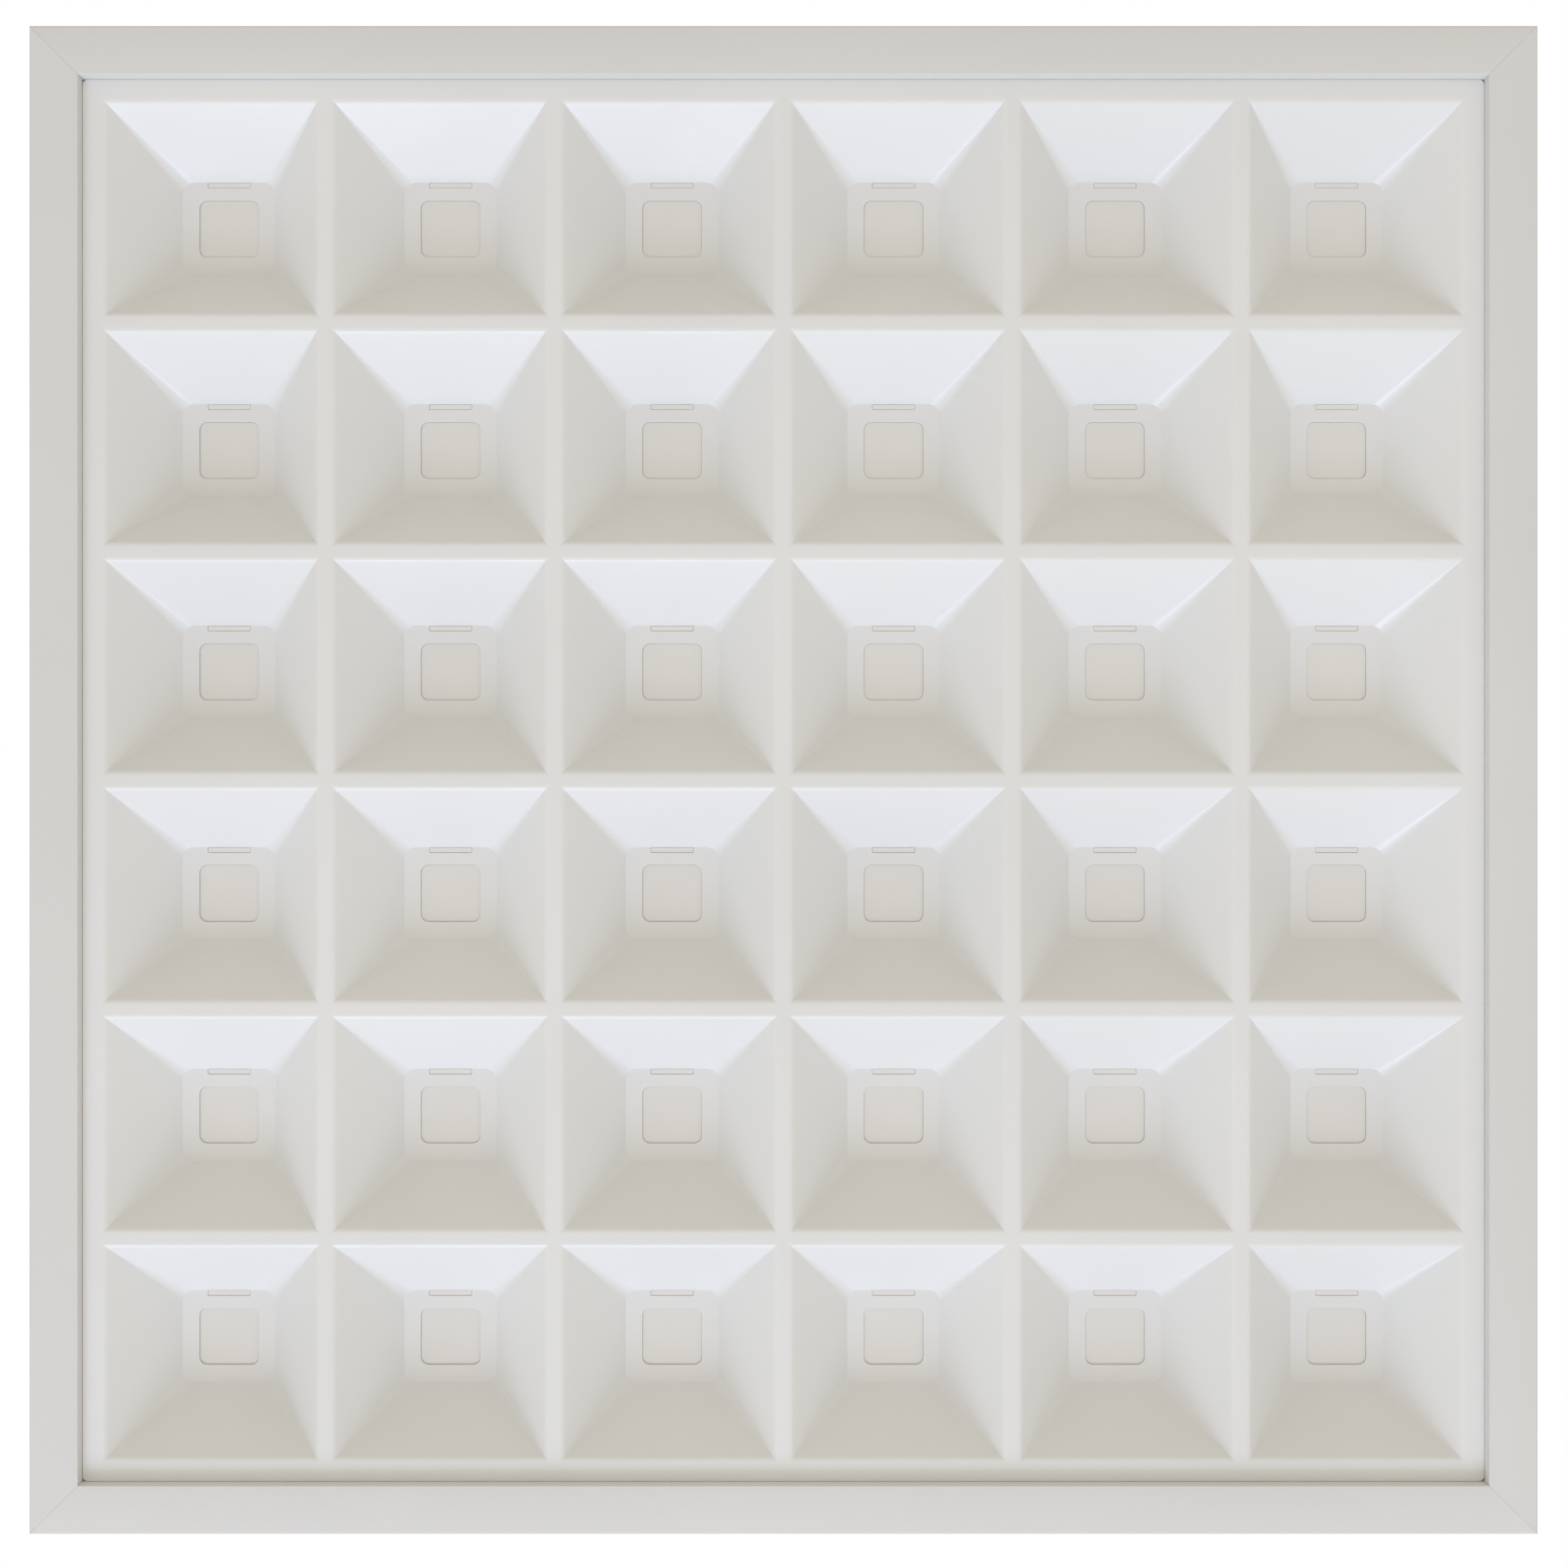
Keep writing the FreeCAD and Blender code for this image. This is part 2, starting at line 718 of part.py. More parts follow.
def housing_tray():
    """The pressed back pan: a rim on the rails, a rounded edge and a flat back with four beads."""
    pan_size = overall_size - 2 * pan_wall_inset
    rim_size = overall_size - 2 * seat_inset
    outside = pressed_dome(pan_size, pan_corner_radius, pan_edge_radius, rail_web_height, tray_top)
    inside = pressed_dome(pan_size - 2 * tray_thickness, pan_corner_radius - tray_thickness,
                          pan_edge_radius - tray_thickness, rail_web_height, board_top)
    rim = rounded_slab(rim_size, rim_size, rim_corner_radius, rail_web_height, rim_top)
    bead_places = [bead_first_x, bead_first_x + bead_spacing]
    beads = [stiffening_bead(side * x) for side in (-1, 1) for x in bead_places]
    body = rim.multiFuse([outside] + [outer for outer, inner in beads])
    boss_holes = [(x, y) for x in boss_places for y in boss_places]
    board_holes = [place for y in cell_centres for place in board_screw_places(y)]
    groups = [
        (boss_holes, boss_pilot_radius),
        (board_holes, board_screw_radius),
        (box_rivet_places() + hanger_foot_places(), rivet_radius),
        (driver_screw_places(), driver_screw_radius),
        (clamp_screw_places(), clamp_screw_radius),
        ([(earth_screw_x, earth_screw_y)], earth_screw_radius),
        (four_corners(clip_x, clip_y), clip_rivet_radius),
        ([led_grommet_place()], led_grommet_neck),
    ]
    cutters = [inside] + [inner for outer, inner in beads]
    for places, radius in groups:
        cutters += holes(places, radius + screw_hole_clearance, board_top, tray_top)
    rim_holes = holes(rim_screw_places(), rim_screw_radius + screw_hole_clearance, rail_web_height, rim_top)
    return body.cut(cutters + on_every_side(rim_holes))


def reflector_screws():
    """Screws through the tray into the reflector's bosses."""
    head = (boss_screw_head_radius, boss_screw_head_height)
    shank = (boss_pilot_radius, boss_screw_bite)
    places = [(x, y) for x in boss_places for y in boss_places]
    return Part.makeCompound([screw(place, tray_top, head, shank) for place in places])


def rim_screws():
    """Screws through the tray's rim into the rails."""
    head = (rim_screw_head_radius, rim_screw_head_height)
    shank = (rim_screw_radius, rim_screw_bite)
    front = [screw(place, rim_top, head, shank) for place in rim_screw_places()]
    return Part.makeCompound(on_every_side(front))


# ---- Driver box ----------------------------------------------------------------------------
def hinge_ear(x_wall, y, thickness):
    """A rounded ear on the box wall, square to the hinge pin."""
    axle = Vector(hinge_x, y, hinge_z)
    disc = sided_bar(knuckle_radius, turned_sides, axle, axle + Vector(0, thickness, 0))
    arm = Part.makeBox(x_wall - hinge_x, thickness, 2 * knuckle_radius, axle - Vector(0, 0, knuckle_radius))
    return disc.fuse(arm)


def ear_starts(y):
    """Where the two box ears of one hinge begin along Y."""
    reach = knuckle_length / 2 + ear_gap
    return [y - reach - ear_thickness, y + reach]


def driver_box():
    """Four sheet walls with feet, a lip for the lid screw, a cable hole and hinge ears."""
    outer = slab(box_width, box_length, tray_top, box_top)
    inner = slab(box_width - 2 * box_sheet, box_length - 2 * box_sheet, tray_top, box_top)
    foot_x = (box_width + box_foot) / 2
    foot_length = box_length - 2 * box_foot
    feet = [slab(box_foot, foot_length, tray_top, tray_top + box_sheet, side * foot_x) for side in (-1, 1)]
    lip_x = (box_width - box_lip) / 2
    lip = slab(box_lip, box_length - 4 * box_sheet, box_top - box_sheet, box_top, lip_x)
    starts = [start for y in hinge_places for start in ear_starts(y)]
    ears = [hinge_ear(-box_width / 2, start, ear_thickness) for start in starts]
    body = outer.cut(inner).multiFuse(feet + [lip] + ears)
    end = Vector(hinge_x, box_length / 2, hinge_z)
    pin_hole = rod(hinge_pin_radius, end - Vector(0, box_length, 0), end)
    entry_end = Vector(0, box_length / 2, tray_top + entry_height)
    entry = sided_bar(grommet_neck_radius, turned_sides, entry_end - Vector(0, box_sheet, 0), entry_end)
    cutters = [pin_hole, entry]
    rivet_hole = rivet_radius + screw_hole_clearance
    lip_hole = lid_screw_radius + lip_hole_clearance
    cutters += holes(box_rivet_places(), rivet_hole, tray_top, tray_top + box_sheet)
    cutters += holes([lid_screw_place()], lip_hole, box_top - box_sheet, box_top)
    return body.cut(cutters)


def lid_screw_place():
    """The captive screw stands over the lip of the box, midway along."""
    return (box_width / 2 - lid_screw_inset, 0)


def lid_knuckle(y):
    """A rolled knuckle under the lid's edge, round the hinge pin."""
    start = Vector(hinge_x, y - knuckle_length / 2, hinge_z)
    barrel = sided_bar(knuckle_radius, turned_sides, start, start + Vector(0, knuckle_length, 0))
    web = Part.makeBox(box_sheet, knuckle_length, lid_top - hinge_z, start - Vector(knuckle_radius, 0, 0))
    tongue = Part.makeBox(-box_width / 2 - hinge_x + knuckle_radius, knuckle_length, box_sheet,
                          Vector(hinge_x - knuckle_radius, y - knuckle_length / 2, lid_bottom))
    return [barrel, web, tongue]


def driver_box_lid():
    """The flat lid with a skirt on three sides and two knuckles on the fourth."""
    reach = lid_side_gap + box_sheet
    width = box_width + reach
    length = box_length + 2 * reach
    plate = slab(width, length, lid_bottom, lid_top, reach / 2)
    skirt_low = box_top - lid_skirt
    end_y = (length - box_sheet) / 2
    skirts = [slab(width, box_sheet, skirt_low, lid_bottom, reach / 2, y) for y in (-end_y, end_y)]
    skirts.append(slab(box_sheet, length, skirt_low, lid_bottom, (box_width + reach + lid_side_gap) / 2))
    knuckles = [piece for y in hinge_places for piece in lid_knuckle(y)]
    body = plate.multiFuse(skirts + knuckles)
    bores = [rod(hinge_pin_radius + hinge_running_clearance, Vector(hinge_x, y - knuckle_length, hinge_z),
                 Vector(hinge_x, y + knuckle_length, hinge_z)) for y in hinge_places]
    screw_hole = lid_screw_radius + screw_hole_clearance
    return body.cut(bores + holes([lid_screw_place()], screw_hole, lid_bottom, lid_top))


def lid_hinge_pins():
    """Two headed pins, held in the ears of the box."""
    reach = knuckle_length / 2 + ear_gap + ear_thickness
    pins = []
    for y in hinge_places:
        start = Vector(hinge_x, y - reach, hinge_z)
        end = Vector(hinge_x, y + reach, hinge_z)
        head = sided_bar(pin_head_radius, turned_sides, start - Vector(0, pin_head_length, 0), start)
        pins.append(rod(hinge_pin_radius, start, end + Vector(0, pin_head_length, 0)).fuse(head))
    return Part.makeCompound(pins)


def lid_screw():
    """The captive screw that holds the lid to the lip of the box."""
    head = (lid_screw_head_radius, lid_screw_head_height)
    return screw(lid_screw_place(), lid_top, head, (lid_screw_radius, lid_screw_length))


# ---- Driver and wiring in the box ----------------------------------------------------------
def led_driver():
    """The driver's closed case, raised off the tray on two end tabs."""
    low = tray_top + driver_lift
    case = slab(driver_width, driver_length, low, low + driver_height, 0, driver_centre_y)
    lengthwise = [edge for edge in case.Edges if edge.BoundBox.YLength > driver_length / 2]
    case = case.makeFillet(driver_edge_radius, lengthwise)
    tabs = []
    for x, y in driver_screw_places():
        tabs.append(slab(driver_tab_length, driver_tab_length, tray_top, low + driver_tab_thickness, x, y))
    body = case.multiFuse(tabs)
    hole_radius = driver_screw_radius + screw_hole_clearance
    return body.cut(holes(driver_screw_places(), hole_radius, tray_top, low + driver_tab_thickness))


def driver_socket(end_y, outward):
    """A push-wire socket on one end of the driver, beside the tab."""
    low = tray_top + driver_lift + driver_socket_lift
    x = -outward * driver_socket_offset
    y = end_y + outward * driver_socket_length / 2
    return slab(driver_socket_width, driver_socket_length, low, low + driver_socket_height, x, y)


def driver_screws():
    """Two screws through the driver's tabs into the tray."""
    head = (driver_screw_head_radius, driver_screw_head_height)
    seat = tray_top + driver_lift + driver_tab_thickness
    shank = (driver_screw_radius, seat - board_top)
    return Part.makeCompound([screw(place, seat, head, shank) for place in driver_screw_places()])


def block_pole_places():
    """The three poles of the terminal block."""
    return [((i - 1) * block_pole_spacing, block_centre_y) for i in range(3)]


def terminal_block():
    """A three-pole terminal block with a wire hole through each pole and a screw well above it."""
    top = tray_top + block_height
    block = slab(block_width, block_length, tray_top, top, 0, block_centre_y)
    cutters = []
    for x, y in block_pole_places():
        start = Vector(x, y - block_length / 2, tray_top + block_hole_height)
        end = start + Vector(0, block_length, 0)
        cutters.append(sided_bar(block_hole_radius, turned_sides, start, end))
        cutters.append(faceted_post(block_screw_radius, top - block_screw_depth, top, x, y))
    return block.cut(cutters)


def terminal_screws():
    """The clamping screws in the wells of the terminal block."""
    top = tray_top + block_height
    form = (block_screw_radius, top - block_screw_depth, top + block_screw_proud)
    return Part.makeCompound([faceted_post(*form, *place) for place in block_pole_places()])


def supply_lead(pole, socket_x):
    """A lead from one pole of the terminal block to the driver's input socket."""
    block_y = block_centre_y - block_length / 2
    socket_y = driver_back_y + driver_socket_length
    block_z = tray_top + block_hole_height
    socket_z = tray_top + driver_lift + driver_socket_lift + driver_socket_height / 2
    block_x = block_pole_places()[pole][0]
    third = (block_y - socket_y) / 3
    points = [Vector(block_x, block_y + lead_seat, block_z), Vector(block_x, block_y - third, block_z),
              Vector(socket_x, socket_y + third, socket_z), Vector(socket_x, socket_y, socket_z)]
    return lead(points, lead_radius, lead_bend)


def earth_lead():
    """The earth lead, from the right-hand pole to a ring tab under the earth screw."""
    block_x = block_pole_places()[2][0]
    block_y = block_centre_y - block_length / 2
    block_z = tray_top + block_hole_height
    tab_z = tray_top + earth_tab_thickness
    run_y = earth_screw_y
    crimp_x = earth_screw_x - earth_tab_radius
    points = [
        Vector(block_x, block_y + lead_seat, block_z), Vector(block_x, run_y, block_z),
        Vector(crimp_x - earth_tab_radius, run_y, tab_z + lead_radius / 2),
        Vector(crimp_x, run_y, tab_z + lead_radius / 2),
    ]
    wire = lead(points, lead_radius, lead_bend)
    place = (earth_screw_x, earth_screw_y)
    ring = upright(ring_points(earth_tab_radius, turned_sides, *place), tray_top, tab_z)
    crimp = slab(2 * earth_tab_radius, 3 * lead_radius, tray_top, tab_z + lead_radius,
                 crimp_x - earth_tab_radius / 2, run_y)
    head_room = faceted_post(earth_screw_head_radius + earth_head_clearance, tab_z,
                             tab_z + earth_screw_head_height, *place)
    hole = faceted_post(earth_screw_radius + screw_hole_clearance, tray_top, tab_z, *place)
    return wire.multiFuse([ring, crimp]).cut([head_room, hole])


def earth_screw():
    """The earth screw through the ring tab into the tray."""
    head = (earth_screw_head_radius, earth_screw_head_height)
    seat = tray_top + earth_tab_thickness
    return screw((earth_screw_x, earth_screw_y), seat, head, (earth_screw_radius, seat - board_top))


def entry_grommet():
    """The rubber bush in the end wall where the supply cable enters."""
    length = box_sheet + 2 * grommet_flange_thickness
    inner = Vector(0, box_length / 2 - box_sheet - grommet_flange_thickness, tray_top + entry_height)
    outer = inner + Vector(0, length, 0)
    flange = Vector(0, grommet_flange_thickness, 0)
    body = sided_bar(grommet_neck_radius, turned_sides, inner, outer).multiFuse([
        sided_bar(grommet_flange_radius, turned_sides, inner, inner + flange),
        sided_bar(grommet_flange_radius, turned_sides, outer - flange, outer),
    ])
    return body.cut(rod(entry_bore_radius, inner, outer))


def cable_clamp():
    """An arched saddle that holds the supply cable down to the tray."""
    y = clamp_y - clamp_length / 2
    arch_z = tray_top + clamp_arch_radius
    axis = Vector(0, 1, 0)
    outer_radius = clamp_arch_radius + clamp_arch_wall
    arch = Part.makeCylinder(outer_radius, clamp_length, Vector(0, y, arch_z), axis)
    arch = arch.common(slab(2 * outer_radius, clamp_length, arch_z, arch_z + outer_radius, 0, clamp_y))
    legs = slab(2 * outer_radius, clamp_length, tray_top, arch_z, 0, clamp_y)
    feet = slab(2 * clamp_half_width, clamp_length, tray_top, tray_top + clamp_thickness, 0, clamp_y)
    tunnel = Part.makeCylinder(clamp_arch_radius, clamp_length, Vector(0, y, arch_z), axis)
    throat = slab(2 * clamp_arch_radius, clamp_length, tray_top, arch_z, 0, clamp_y)
    top = tray_top + clamp_thickness
    bores = holes(clamp_screw_places(), clamp_screw_radius + screw_hole_clearance, tray_top, top)
    return arch.multiFuse([legs, feet]).cut([tunnel, throat] + bores)


def clamp_screws():
    """The clamp's two screws."""
    head = (clamp_screw_head_radius, clamp_screw_head_height)
    seat = tray_top + clamp_thickness
    return Part.makeCompound([screw(place, seat, head, (clamp_screw_radius, seat - board_top))
                              for place in clamp_screw_places()])


def led_grommet():
    """The small bush in the tray where the LED leads pass down."""
    place = led_grommet_place()
    low = board_top - led_grommet_flange_thickness
    high = tray_top + led_grommet_flange_thickness
    body = faceted_post(led_grommet_neck, low, high, *place).multiFuse([
        faceted_post(led_grommet_flange, low, board_top, *place),
        faceted_post(led_grommet_flange, tray_top, high, *place),
    ])
    return body.cut(faceted_post(led_grommet_bore, low, high, *place))


def led_lead(pole):
    """A lead from the driver's output, down through the small bush and along to the second board."""
    grommet_x, grommet_y = led_grommet_place()
    socket_y = driver_front_y - driver_socket_length
    socket_z = tray_top + driver_lift + driver_socket_lift + driver_socket_height / 2
    shift = (pole - 0.5) * connector_pole_spacing
    down_x = grommet_x + shift
    run_y = grommet_y + shift
    socket_x = driver_socket_offset + (pole - 0.5) * driver_pole_spacing
    run_z = board_bottom - connector_height / 2
    end_x = connector_pole_x(pole)
    connector_y = cell_centres[1] + connector_length / 2
    points = [
        Vector(socket_x, socket_y, socket_z), Vector(socket_x, run_y, socket_z),
        Vector(down_x, run_y, socket_z - 2 * led_lead_bend), Vector(down_x, run_y, run_z),
        Vector(end_x, run_y, run_z), Vector(end_x, connector_y, run_z),
    ]
    return lead(points, led_lead_radius, led_lead_bend)


# ---- Grid clips and hanger brackets --------------------------------------------------------
def grid_clip(side_x, side_y):
    """A flat clip, stowed along the side of the tray, with an upturned finger tab at its end."""
    pivot = Vector(side_x * clip_x, side_y * clip_y, 0)
    top = clip_bottom + clip_thickness
    end_y = pivot.y - side_y * clip_reach
    arm = slab(clip_width, clip_reach, clip_bottom, top, pivot.x, (pivot.y + end_y) / 2)
    eye = upright(ring_points(clip_width / 2, turned_sides, pivot.x, pivot.y), clip_bottom, top)
    tab_y = end_y + side_y * clip_thickness / 2
    tab = slab(clip_width, clip_thickness, clip_bottom, top + clip_tab_height, pivot.x, tab_y)
    bore = post(clip_rivet_radius + clip_running_clearance, clip_bottom, top, pivot.x, pivot.y)
    return arm.multiFuse([eye, tab]).cut(bore)


def clip_rivets():
    """Shouldered rivets on which the clips turn."""
    seat = clip_bottom + clip_thickness + clip_gap
    rivets = []
    for place in four_corners(clip_x, clip_y):
        shank = post(clip_rivet_radius, board_top, seat, *place)
        ring = ring_points(clip_rivet_head_radius, turned_sides, *place)
        head = upright(ring, seat, seat + clip_rivet_head_height)
        tail = faceted_post(clip_shoulder_radius, board_top - clip_rivet_head_height, board_top, *place)
        rivets.append(shank.multiFuse([head, tail]))
    return Part.makeCompound(rivets)


def hanger_bracket(side_x, side_y):
    """A joggled strip: a riveted foot, a riser and a raised ear with a hole for a suspension wire."""
    thick = hanger_thickness
    foot_end = hanger_x - hanger_ear / 2
    foot_start = foot_end - hanger_foot
    ear_end = hanger_x + hanger_ear / 2
    outline = [
        (foot_start, 0), (foot_end, 0), (foot_end, hanger_rise - thick),
        (ear_end, hanger_rise - thick), (ear_end, hanger_rise), (foot_end - thick, hanger_rise),
        (foot_end - thick, thick), (foot_start, thick),
    ]
    low_y = side_y * hanger_y - hanger_width / 2
    points = [Vector(side_x * x, low_y, tray_top + z) for x, z in outline]
    strip = prism(points, Vector(0, hanger_width, 0))
    rivet_place = (side_x * (foot_end - hanger_foot / 2), side_y * hanger_y)
    wire_place = (side_x * hanger_x, side_y * hanger_y)
    return strip.cut([
        faceted_post(rivet_radius + screw_hole_clearance, tray_top, tray_top + thick, *rivet_place),
        post(hanger_hole_radius, tray_top + thick, tray_top + hanger_rise, *wire_place),
    ])


def hanger_brackets():
    """One bracket near each corner of the tray."""
    return Part.makeCompound([hanger_bracket(side_x, side_y) for side_x, side_y in four_corners(1, 1)])


def sheet_rivets():
    """Rivets through the tray, in the feet of the driver box and of the hanger brackets."""
    box = [rivet(place, board_top, tray_top + box_sheet) for place in box_rivet_places()]
    hangers = [rivet(place, board_top, tray_top + hanger_thickness) for place in hanger_foot_places()]
    return Part.makeCompound(box + hangers)


# ---- All the pieces ------------------------------------------------------------------------
def build_pieces():
    """Every named piece of the light."""
    pieces = {}
    rail = trim_rail()
    for quarters, side in enumerate(["front", "right", "back", "left"]):
        pieces["trim_rail_" + side] = turned(rail, quarters)
    pieces["corner_keys"] = corner_keys()
    pieces["corner_key_screws"] = corner_key_screws()
    pieces["reflector_grid"] = reflector_grid()
    for row, y in enumerate(cell_centres, start=1):
        pieces[f"lens_holder_{row}"] = lens_holder(y)
        pieces[f"lens_strip_{row}"] = lens_strip(y)
        pieces[f"led_board_{row}"] = led_board(y)
    pieces["led_packages"] = led_packages()
    pieces["board_screws"] = board_screws()
    pieces["board_connectors"] = board_connectors()
    pieces["board_jumpers"] = board_jumpers()
    pieces["housing_tray"] = housing_tray()
    pieces["reflector_screws"] = reflector_screws()
    pieces["rim_screws"] = rim_screws()
    pieces["driver_box"] = driver_box()
    pieces["driver_box_lid"] = driver_box_lid()
    pieces["lid_hinge_pins"] = lid_hinge_pins()
    pieces["lid_screw"] = lid_screw()
    pieces["led_driver"] = led_driver()
    pieces["driver_input_socket"] = driver_socket(driver_back_y, 1)
    pieces["driver_output_socket"] = driver_socket(driver_front_y, -1)
    pieces["driver_screws"] = driver_screws()
    pieces["terminal_block"] = terminal_block()
    pieces["terminal_screws"] = terminal_screws()
    input_x = -driver_socket_offset
    pieces["live_lead"] = supply_lead(0, input_x - driver_pole_spacing / 2)
    pieces["neutral_lead"] = supply_lead(1, input_x + driver_pole_spacing / 2)
    pieces["earth_lead"] = earth_lead()
    pieces["earth_screw"] = earth_screw()
    pieces["entry_grommet"] = entry_grommet()
    pieces["cable_clamp"] = cable_clamp()
    pieces["clamp_screws"] = clamp_screws()
    pieces["led_grommet"] = led_grommet()
    pieces["led_lead_plus"] = led_lead(1)
    pieces["led_lead_minus"] = led_lead(0)
    for number, (side_x, side_y) in enumerate(four_corners(1, 1), start=1):
        pieces[f"grid_clip_{number}"] = grid_clip(side_x, side_y)
    pieces["clip_rivets"] = clip_rivets()
    pieces["hanger_brackets"] = hanger_brackets()
    pieces["sheet_rivets"] = sheet_rivets()
    return pieces


os.makedirs("parts", exist_ok=True)
for name, shape in build_pieces().items():
    shape.exportStep(f"parts/{name}.step")
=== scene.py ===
import json
import math

import bmesh
import bpy
from mathutils import Matrix, Vector


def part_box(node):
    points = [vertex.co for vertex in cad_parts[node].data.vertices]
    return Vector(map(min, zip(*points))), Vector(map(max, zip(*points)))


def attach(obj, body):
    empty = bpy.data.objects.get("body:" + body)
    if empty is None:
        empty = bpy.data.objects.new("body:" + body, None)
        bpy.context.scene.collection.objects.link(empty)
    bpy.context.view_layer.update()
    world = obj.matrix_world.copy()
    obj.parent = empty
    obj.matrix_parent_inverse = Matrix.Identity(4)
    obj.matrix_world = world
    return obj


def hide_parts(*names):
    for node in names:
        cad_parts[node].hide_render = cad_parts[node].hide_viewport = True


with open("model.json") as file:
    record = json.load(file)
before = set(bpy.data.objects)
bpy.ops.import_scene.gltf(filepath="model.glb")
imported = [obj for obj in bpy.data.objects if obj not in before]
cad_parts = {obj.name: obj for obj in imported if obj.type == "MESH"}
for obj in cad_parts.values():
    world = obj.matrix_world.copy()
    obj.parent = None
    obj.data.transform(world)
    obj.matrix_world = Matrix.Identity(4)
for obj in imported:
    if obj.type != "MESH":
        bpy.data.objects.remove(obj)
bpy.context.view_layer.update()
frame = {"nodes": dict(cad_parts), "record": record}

# Sizes are in metres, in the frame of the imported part: the light faces -Z, +Z points up into the ceiling.
MM = 0.001
NODES = frame["nodes"]


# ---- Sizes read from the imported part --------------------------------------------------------
trim_low, trim_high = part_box("trim_rail_front")
HALF = -trim_low.y                       # half of the trim's outer size
WEB = -trim_high.y                       # from the middle to the room side of the trim's web
WEB_TOP = trim_high.z
FACE_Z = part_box("reflector_grid")[0].z
holder_low, holder_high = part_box("lens_holder_1")
THROAT_Z = holder_low.z
HOLDER_TOP = holder_high.z
ROWS = [(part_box(f"lens_holder_{i}")[0].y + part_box(f"lens_holder_{i}")[1].y) / 2 for i in range(1, 7)]
PITCH = ROWS[1] - ROWS[0]
BOARD_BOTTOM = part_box("led_board_1")[0].z
BOARD_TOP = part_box("led_board_1")[1].z
TRAY_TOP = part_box("driver_box")[0].z
TRAY_SHEET = TRAY_TOP - BOARD_TOP
RIM_TOP = WEB_TOP + TRAY_SHEET
LID_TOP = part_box("driver_box_lid")[1].z
BOX_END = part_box("driver_box")[1].y

# ---- Reflector form -------------------------------------------------------------------------
RIB = 6.6 * MM
OPENING = (PITCH - RIB) / 2  # half of a cup's mouth
THROAT = 19.0 * MM           # half of a cup's throat
THROAT_RADIUS = 5.0 * MM
SHARP_RADIUS = 0.25 * MM     # a moulded edge that reads as sharp
RIB_EDGE = 3.0 * MM
CUP_WALL = 2.4 * MM
FACE_THICKNESS = 1.8 * MM
SKIRT_HEIGHT = 15.0 * MM
SKIRT_THICKNESS = 1.8 * MM
PANEL = WEB - 0.06 * MM
PANEL_CORNER = 2.0 * MM
PANEL_EDGE = 0.35 * MM
BOSS_RADIUS = 4.0 * MM
BOSS_PILOT = 1.3 * MM
BOSS_PILOT_DEPTH = 12.0 * MM
BOSS_PLACES = [k * PITCH for k in (-2, 0, 2)]
WINDOW_X = 12.2 * MM         # half of a lens window across and along
WINDOW_Y = 11.7 * MM
WINDOW_RADIUS = 3.2 * MM
PAD_GAP = 0.02 * MM
LATCH_WIDTH = 17.5 * MM
LATCH_LENGTH = 2.2 * MM
LATCH_DEPTH = 0.25 * MM      # how far a lens strip's latch stays behind the holder's face
LATCH_GAP = 0.1 * MM         # round a latch in its slot, and from the slot to the throat
WINDOW_EDGE = 0.12 * MM
PAD_EDGE = 0.2 * MM
LENS_WALL = 1.5 * MM


# ---- Mesh helpers ---------------------------------------------------------------------------
CORNER_STEPS = 6             # flats in each round corner of a ring
TURNED_SIDES = 32            # flats of a turned piece
RIVET_SIDES = 24
BOSS_SIDES = 20


def outline(half_x, half_y, radius, z, cx=0.0, cy=0.0):
    """A closed level ring with round corners."""
    ring = []
    for quarter, (sx, sy) in enumerate(((1, 1), (-1, 1), (-1, -1), (1, -1))):
        for i in range(CORNER_STEPS + 1):
            angle = math.radians(90 * quarter + 90 * i / CORNER_STEPS)
            x = cx + sx * (half_x - radius) + radius * math.cos(angle)
            y = cy + sy * (half_y - radius) + radius * math.sin(angle)
            ring.append((x, y, z))
    return ring


def softened(half, radius, z, cx=0.0, cy=0.0):
    """A square level ring with round corners."""
    return outline(half, half, radius, z, cx, cy)


def round_hole(radius, z, cx=0.0, cy=0.0):
    """A round ring that has as many points as outline()."""
    return outline(radius, radius, radius, z, cx, cy)


def rectangle(x0, x1, y0, y1, z):
    """A ring with sharp corners that has as many points as outline()."""
    corners = ((x1, y1), (x0, y1), (x0, y0), (x1, y0))
    return [(x, y, z) for x, y in corners for _ in range(CORNER_STEPS + 1)]


def square(half, z, cx=0.0, cy=0.0):
    """A square ring with sharp corners that has as many points as outline()."""
    return rectangle(cx - half, cx + half, cy - half, cy + half, z)


def quarter_turn(steps):
    """The angles from 0 to 90 degrees in even steps."""
    return [math.pi / 2 * i / steps for i in range(steps + 1)]


def circle(radius, z, segments, cx=0.0, cy=0.0):
    """A level ring with evenly spaced points."""
    turns = [2 * math.pi * i / segments for i in range(segments)]
    return [(cx + radius * math.cos(t), cy + radius * math.sin(t), z) for t in turns]


